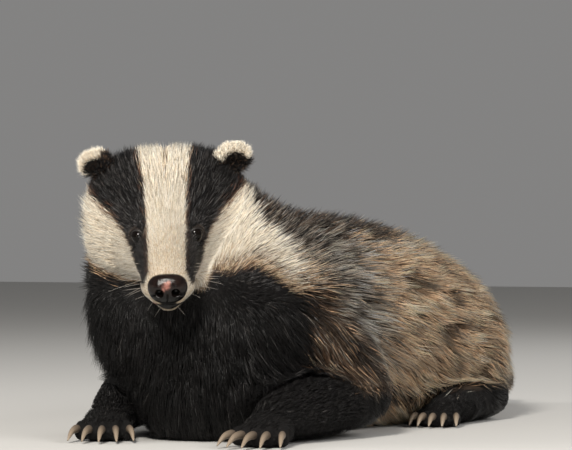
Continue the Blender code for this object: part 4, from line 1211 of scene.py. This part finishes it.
def hair_piece(name, paths, outward, widths, colours, wraps, slot_name, taper):
    """One mesh of hairs. Each runs along its path as a three-sided blade and ends in a point."""
    count, steps = paths.shape[:2]
    per_hair = 3 * (steps - 1) + 1
    points = np.empty((count, per_hair, 3))
    spots = np.empty((per_hair, 2))
    for step in range(steps - 1):
        ahead = unit(paths[:, step + 1] - paths[:, max(step - 1, 0)])
        side = unit(np.cross(ahead, outward))
        up = np.cross(side, ahead)
        wide = (widths * taper[step] / 2)[:, None]
        points[:, 3 * step] = paths[:, step] - side * wide
        points[:, 3 * step + 1] = paths[:, step] + side * wide
        points[:, 3 * step + 2] = paths[:, step] + up * wide * hair_fullness
        up_the_patch = 2 * step / (steps - 1) - 1
        spots[3 * step : 3 * step + 3] = ((-1, up_the_patch), (1, up_the_patch), (0, up_the_patch + 0.1))
    points[:, -1] = paths[:, -1]
    spots[-1] = (0, 1)
    points = np.clip(points, np.array(solid_box[0]) + box_gap, np.array(solid_box[1]) - box_gap)

    blade = [(0, 1, 2)]
    edges = ((0, 1), (1, 2), (2, 0))
    for step in range(steps - 2):
        low, high = 3 * step, 3 * step + 3
        for start, end in edges:
            blade += [(low + end, low + start, high + start), (low + end, high + start, high + end)]
    last = 3 * (steps - 2)
    blade += [(last + end, last + start, per_hair - 1) for start, end in edges]
    blade = np.array(blade)
    faces = (blade[None] + per_hair * np.arange(count)[:, None, None]).reshape(-1, 3)

    mesh = bpy.data.meshes.new(name)
    mesh.vertices.add(count * per_hair)
    mesh.vertices.foreach_set("co", points.ravel())
    mesh.loops.add(faces.size)
    mesh.loops.foreach_set("vertex_index", faces.ravel().astype(np.int32))
    mesh.polygons.add(len(faces))
    mesh.polygons.foreach_set("loop_start", np.arange(0, faces.size, 3, dtype=np.int32))
    mesh.update(calc_edges=True)
    mesh.shade_smooth()
    mesh.uv_layers.new(name="OFBake")
    spread = wraps[:, None, None, :] + patch_half * spots[blade][None]
    mesh.uv_layers["OFBake"].data.foreach_set("uv", spread.ravel())
    shown = np.empty((count, per_hair, 3))
    for step in range(steps - 1):
        shown[:, 3 * step : 3 * step + 3] = colours[:, step, None]
    shown[:, -1] = colours[:, -1]
    set_markings(mesh, shown.reshape(-1, 3))
    mesh.materials.append(hair_finish)
    piece = placed(name, mesh)
    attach(piece, "root")
    return piece


def flattened(ways, normals):
    """The ways without their part along the normals."""
    return ways - normals * (ways * normals).sum(axis=1, keepdims=True)


def nearest_on(tree, places):
    """The nearest places on a surface, and its normals there."""
    found = [tree.find_nearest(place) for place in places.tolist()]
    return np.array([hit[0] for hit in found]), np.array([hit[1] for hit in found])


def leg_share(places):
    """How far each place is on a foreleg, and the way the leg runs there."""
    share, way = np.zeros(len(places)), np.zeros((len(places), 3))
    for side in (1, -1):
        for line in foreleg_lines[side]:
            for near, far in zip(line, line[1:]):
                start, run = np.array(near[:3]), np.array(far[:3]) - np.array(near[:3])
                passed = np.clip((places - start) @ run / (run @ run), 0, 1.6)
                away = np.linalg.norm(places - start - passed[:, None] * run, axis=1)
                here = fade(away / near[3], 1.35, 1.0)
                way = np.where((here > share)[:, None], run / np.linalg.norm(run), way)
                share = np.maximum(share, here)
    return share, way


def near_eyes(places):
    """How near each place is to an eye, from 0 to 1, and the way out from it."""
    near, out = np.zeros(len(places)), np.zeros((len(places), 3))
    for side in (1, -1):
        centre = np.array(eye_place(side).translation)
        reach = np.linalg.norm(places - centre, axis=1)
        here = fade(reach, *eye_clearing)
        out = np.where((here > near)[:, None], unit(places - centre), out)
        near = np.maximum(near, here)
    return near, out


def head_share(places):
    """How far each place is on the head, with 0 on the chest under it."""
    head = in_head(places)
    underside = along(-head[:, 1], head_underside)
    return fade(head[:, 2] - underside, *underside_blur)


def cheek_share(places):
    """How far each place is on the long hair of the cheeks, or on the tuft of the chin."""
    return np.maximum(in_area(places, "cheek"), in_area(places, "chin"))


def hair_length(places):
    forward = -in_head(places)[:, 1]
    on_head = in_area(places, "head hair") * head_share(places)
    on_leg = leg_share(places)[0] * in_area(places, "low leg")
    length = blend(body_hair, chest_hair, in_area(places, "breast"))
    length = blend(length, tail_hair, in_area(places, "tail hair"))
    foot = np.maximum(on_leg, in_area(places, "hind foot hair"))
    length = blend(length, along(places[:, 2], leg_hair), foot)
    on_face = along(forward, head_hair) * (1 + cheek_longer * cheek_share(places))
    on_face = on_face * (1 - eye_shorter * near_eyes(places)[0])
    return blend(length, on_face, on_head)


def hair_lie(places, normals):
    """The way the coat lies: back from the nose, down the chest and legs, and back and down the flanks."""
    from_nose = unit(places - np.array(nose_front))
    near, out = near_eyes(places)
    sideways = flattened(out, from_nose)
    parted = in_area(places, "parted crown") * np.sign(in_head(places)[:, 0])
    to_side = np.array(head_turn @ Vector((1, 0, 0)))
    turned = sideways * round_eyes * near[:, None] + to_side * off_crown * parted[:, None]
    from_nose = unit(from_nose + turned)
    down = -side_fall * np.minimum(1, 1.3 * abs(normals[:, 0]))
    down -= rump_fall * np.maximum(0, normals[:, 1]) + breast_fall * np.maximum(0, -normals[:, 1])
    back = unit(np.column_stack((0 * down, 1 + 0 * down, down)))
    on_head = in_area(places, "head lie") * head_share(places)
    lie = blend(back, from_nose, on_head[:, None])
    facing_nose = fade(-(lie * normals).sum(axis=1), 0.50, 0.85) * in_area(places, "under the jaw")
    lie = lie + under_jaw_way * facing_nose[:, None]
    on_leg, way = leg_share(places)
    lie = blend(lie, way, (on_leg * in_area(places, "low leg"))[:, None])
    lie = blend(lie, hind_foot_way, in_area(places, "hind foot lie")[:, None])
    lie = blend(lie, tail_way, in_area(places, "tail")[:, None])
    return unit(flattened(lie, normals))


def picked_colours(shares, chance, spread=0.18):
    """For each hair one kind by its share, and that kind's colours with a little of its own."""
    passed = shares.cumsum(axis=1) < chance.random(len(shares))[:, None]
    picks = passed.sum(axis=1).clip(0, len(hair_kinds) - 1)
    own = chance.normal(1, spread, (len(shares), 1, 1)).clip(0.6, 1.4)
    warmth = 1 + chance.normal(0, 0.035, (len(shares), 1, 1)) * np.array((1, 0, -1))
    return (colour_table[picks] * own * warmth).clip(0.004, 0.95)


def hair_width(lengths):
    return least_width + more_width * lengths


lengths_on_skin = hair_length(skin_places)
layers = least_layers + more_layers * lengths_on_skin
density = layers / (lengths_on_skin * hair_width(lengths_on_skin))
density *= 1 - leg_thinner * leg_share(skin_places)[0] * in_area(skin_places, "low leg")
density *= 1 + face_thicker * in_area(skin_places, "thick fur of the face") * head_share(skin_places)
for side in (1, -1):
    angle, reach, _ = off_axis(skin_places, side)
    density[(reach < bare_reach) & (angle < bare_angle)] = 0
density[skin_places[:, 2] < bare_sole] = 0
roots, outward, wraps = hair_roots(skin.data, density, coat_chance)
lengths = hair_length(roots) * coat_chance.uniform(*length_spread, len(roots))
widths = hair_width(lengths) * coat_chance.uniform(*width_spread, len(roots))
lie = hair_lie(roots, outward)
lie = unit(lie + np.cross(outward, lie) * coat_chance.normal(0, lean_spread, (len(roots), 1)))
middles, middle_normals = nearest_on(skin_tree, roots + lie * lengths[:, None] * 0.5)
onward = unit(flattened(lie, middle_normals))
tips, _ = nearest_on(skin_tree, middles + onward * lengths[:, None] * 0.5)
middles_out, _ = nearest_on(coat_tree, middles)
tips_out, _ = nearest_on(coat_tree, tips)
shares = markings(middles + coat_chance.normal(0, kind_spread, (len(roots), 3)) * lengths[:, None])
on_leg = (leg_share(roots)[0] * in_area(roots, "low leg"))[:, None]
shaggy = (shaggy_cheek * cheek_share(roots), shaggy_crown * in_area(roots, "crown"))
shagginess = np.maximum.reduce([*shaggy, shaggy_fur * fade(lengths, *shaggy_lengths)])[:, None]
middles = middles + (middles_out - middles) * coat_chance.uniform(*middle_rise, (len(roots), 1))
rise = tip_rise + coat_chance.random((len(roots), 1)) ** 1.3 * (tip_spread + shagginess)
tips = tips + (tips_out - tips) * rise * (1 - flat_leg * on_leg)

# Hairs lean towards the tip of the nearest leading hair, the more so the longer they are.
leaders = coat_chance.choice(len(roots), len(roots) // lock_size, replace=False)
leader_tree = KDTree(len(leaders))
for number, leader in enumerate(leaders):
    leader_tree.insert(roots[leader], int(leader))
leader_tree.balance()
follows = np.array([leader_tree.find(root)[1] for root in roots.tolist()])
pull = (fade(lengths, *lock_lengths) * more_pull + least_pull)[:, None]
tips = tips + (tips[follows] - tips) * pull
middles = middles + (middles[follows] - middles) * pull * 0.5

on_body = fade(lengths, *body_lengths)
shade_spread = face_shades + more_body_shades * on_body
lock_shade = 1 + coat_chance.normal(0, 1, len(roots))[follows] * shade_spread
dark_lock = coat_chance.random(len(roots))[follows] < dark_locks * on_body
lock_shade = np.where(dark_lock, dark_shade, lock_shade.clip(0.4, 1.6))
colours = picked_colours(shares, coat_chance) * lock_shade[:, None, None]
colours = colours.clip(0.004, 0.92)
paths = np.stack((roots - outward * hair_sink, middles, tips), axis=1)

# Each part of the coat is kept in pieces of its own, the face's and feet's hairs without a bend.
on_head = (in_head(roots)[:, 1] < face_end) & (head_share(roots) > 0.5)
on_legs = (leg_share(roots)[0] > 0.5) & (roots[:, 2] < 0.07)
on_legs |= (roots[:, 2] < 0.032) & (abs(roots[:, 0]) > 0.09)
on_neck = ~on_head & (roots[:, 1] < -0.150) & (roots[:, 2] > 0.120)
straight = lengths < straight_hair
coat_areas = {
    "face_coat": (on_head & straight, "head_fur"),
    "cheek_coat": (on_head & ~straight, "head_fur"),
    "foot_coat": (on_legs & straight & ~on_head, "leg_fur"),
    "leg_coat": (on_legs & ~straight & ~on_head, "leg_fur"),
    "neck_coat": (on_neck & ~on_legs, "neck_fur"),
    "body_coat": (~(on_head | on_legs | on_neck), "body_fur"),
}
hair_taper = (1, 0.85)
for area, (inside, slot_name) in coat_areas.items():
    steps = [0, 2] if area in ("face_coat", "foot_coat") else [0, 1, 2]
    rows = np.flatnonzero(inside)
    rows = rows[np.argsort(roots[rows, 1])]
    triangles = len(rows) * (3 * len(steps) + 1)
    for number, some in enumerate(np.array_split(rows, triangles // piece_triangles + 1), 1):
        shown = paths[some][:, steps], outward[some], widths[some], colours[some][:, steps], wraps[some]
        hair_piece(f"{area}_{number}", *shown, slot_name, hair_taper)

# Hair of the ears
# Short, dense hair that lies up and out from the ear's root: white along the rim, and black behind and
# below. It stands up more in the hollow.
ear_hair = 0.0072
ear_hair_width = 0.00034
ear_hair_area = 3.4e6
ear_hair_lean, ear_hair_spread = 0.30, (0.5, 1.25)
# How steeply the hair stands, and how much more so in the hollow
ear_hair_stand, hollow_hair_stand = 0.20, 0.55
# How far the root, the middle and the tip of a hair are lifted off the skin
ear_hair_lifts = (-hair_sink, 0.0008, 0.0002)


def short_paths(roots, outward, ways, lifts):
    """Paths of three points for short hairs."""
    points = [roots + ways * share + outward * lift for share, lift in zip((0, 0.5, 1), lifts)]
    return np.stack(points, axis=1)


for side, word in side_words.items():
    ear_mesh = ears[side].data
    roots, outward, wraps = hair_roots(ear_mesh, np.full(len(ear_mesh.vertices), ear_hair_area), coat_chance)
    local = moved(roots, ear_place(side).inverted())
    wide, _, high = ear_radii[side]
    inward = np.hypot(local[:, 0] / wide, local[:, 2] / high) / ear_cup_share
    in_hollow = fade(inward, 0.95, 0.75) * (local[:, 1] < 0.002)
    base = np.array(ear_place(side) @ Vector((0, 0.002, -0.020)))
    lie = unit(roots - base)
    stands = (ear_hair_stand + hollow_hair_stand * in_hollow)[:, None]
    lie = unit(flattened(lie, outward) + outward * stands)
    lie = unit(lie + coat_chance.normal(0, ear_hair_lean, lie.shape))
    lengths = ear_hair * coat_chance.uniform(*ear_hair_spread, (len(roots), 1))
    shares = ear_shares(roots + lie * lengths * 0.4, side)
    paths = short_paths(roots, outward, lie * lengths, ear_hair_lifts)
    widths = ear_hair_width * coat_chance.uniform(*width_spread, len(roots))
    colours = picked_colours(shares, coat_chance)
    hair_piece(f"ear_hair_{word}", paths, outward, widths, colours, wraps, "head_fur", hair_taper)

# Hair of the lids
# Very short grey-brown hairs round each eye, which point away from it and hide where the lids end. They
# start behind the third row from the rim.
lid_hair = 0.0031
lid_hair_width = 0.00026
lid_hair_spread, lid_shade_spread = (0.6, 1.2), (0.5, 1.5)
lid_hair_lifts = (-0.0003, 0.0004, 0.0005)
lid_hair_area = 4.5e6
lid_hair_colours = np.array(((0.012, 0.010, 0.009), (0.036, 0.028, 0.023), (0.11, 0.085, 0.068)))
for side, word in side_words.items():
    hairy = np.arange(len(lids[side].data.vertices)) // lid_steps > 2
    roots, outward, wraps = hair_roots(lids[side].data, lid_hair_area * hairy, coat_chance)
    from_eye = roots - np.array(eye_place(side).translation)
    outward = outward * np.sign((outward * from_eye).sum(axis=1, keepdims=True))
    lie = hair_lie(roots, outward) + unit(roots - np.array(eye_place(side) @ Vector((0, -0.004, 0))))
    lie = unit(flattened(lie, outward))
    lengths = lid_hair * coat_chance.uniform(*lid_hair_spread, (len(roots), 1))
    paths = short_paths(roots, outward, lie * lengths, lid_hair_lifts)
    colours = lid_hair_colours * coat_chance.uniform(*lid_shade_spread, (len(roots), 1, 1))
    widths = np.full(len(roots), lid_hair_width)
    hair_piece(f"lid_hair_{word}", paths, outward, widths, colours, wraps, "head_fur", hair_taper)

# Whiskers
# Long, stiff, pale bristles in rows on the pads of the upper lip, with shorter ones on the chin.
# Each bends back and droops a little towards its tip.
whisker_rows = {"forward": (0.024, 0.046), "height": (-0.015, -0.030), "rows": 3, "in_a_row": 4}
whisker_length = (0.016, 0.038)
whisker_width = 0.00026
whisker_steps = 7
# How far the roots stray forward and up, the spread of the lengths, and how far whiskers bend
root_strays, whisker_spread = (0.002, 0.001), (0.6, 1.1)
whisker_bend = Vector((0, 0.25, -0.18))
whisker_colours = np.array(((0.30, 0.26, 0.22), (0.70, 0.66, 0.60)))
chin_whiskers = ((0.006, 0.044, 0.016), (0.011, 0.038, 0.018), (0.004, 0.034, 0.014))
starts = []
for side in (1, -1):
    for row in np.linspace(0, 1, whisker_rows["rows"]):
        for place in np.linspace(0, 1, whisker_rows["in_a_row"]):
            forward = np.interp(place, (0, 1), whisker_rows["forward"])
            forward += coat_chance.uniform(-root_strays[0], root_strays[0])
            height = np.interp(row, (0, 1), whisker_rows["height"])
            height += coat_chance.uniform(-root_strays[1], root_strays[1])
            length = np.interp(place, (0, 1), whisker_length[::-1]) * coat_chance.uniform(*whisker_spread)
            way = Vector((side, 0.35, -0.10 - 0.45 * row + coat_chance.uniform(-0.2, 0.2)))
            starts.append((Vector((side * 0.1, -forward, height)), Vector((-side, 0, 0)), way, length))
    for across, forward, length in chin_whiskers:
        way = Vector((side * 0.5, 0.3, -0.9))
        starts.append((Vector((side * across, -forward, -0.1)), Vector((0, 0, 1)), way, length))
paths, outward, wraps = [], [], []
for start, aim, way, length in starts:
    root, normal, _, _ = skin_tree.ray_cast(head_place @ start, head_turn @ aim)
    way = (head_turn @ way).normalized() + Vector(normal) * 0.35
    way.normalize()
    steps = np.linspace(0, 1, whisker_steps)[:, None]
    bend = np.array(head_turn @ whisker_bend) * length
    paths.append(np.array(root) + np.array(way) * length * steps + bend * steps**2)
    outward.append(tuple(normal))
    wraps.append((0.5, 0.5))
paths, outward, wraps = np.array(paths), np.array(outward), np.array(wraps)
shade = np.linspace(0, 1, whisker_steps)[:, None]
colours = np.tile(blend(*whisker_colours, shade), (len(paths), 1, 1))
taper = np.linspace(1, 0.35, whisker_steps - 1)
widths = np.full(len(paths), whisker_width)
hair_piece("whiskers", paths, outward, widths, colours, wraps, "head_fur", taper)
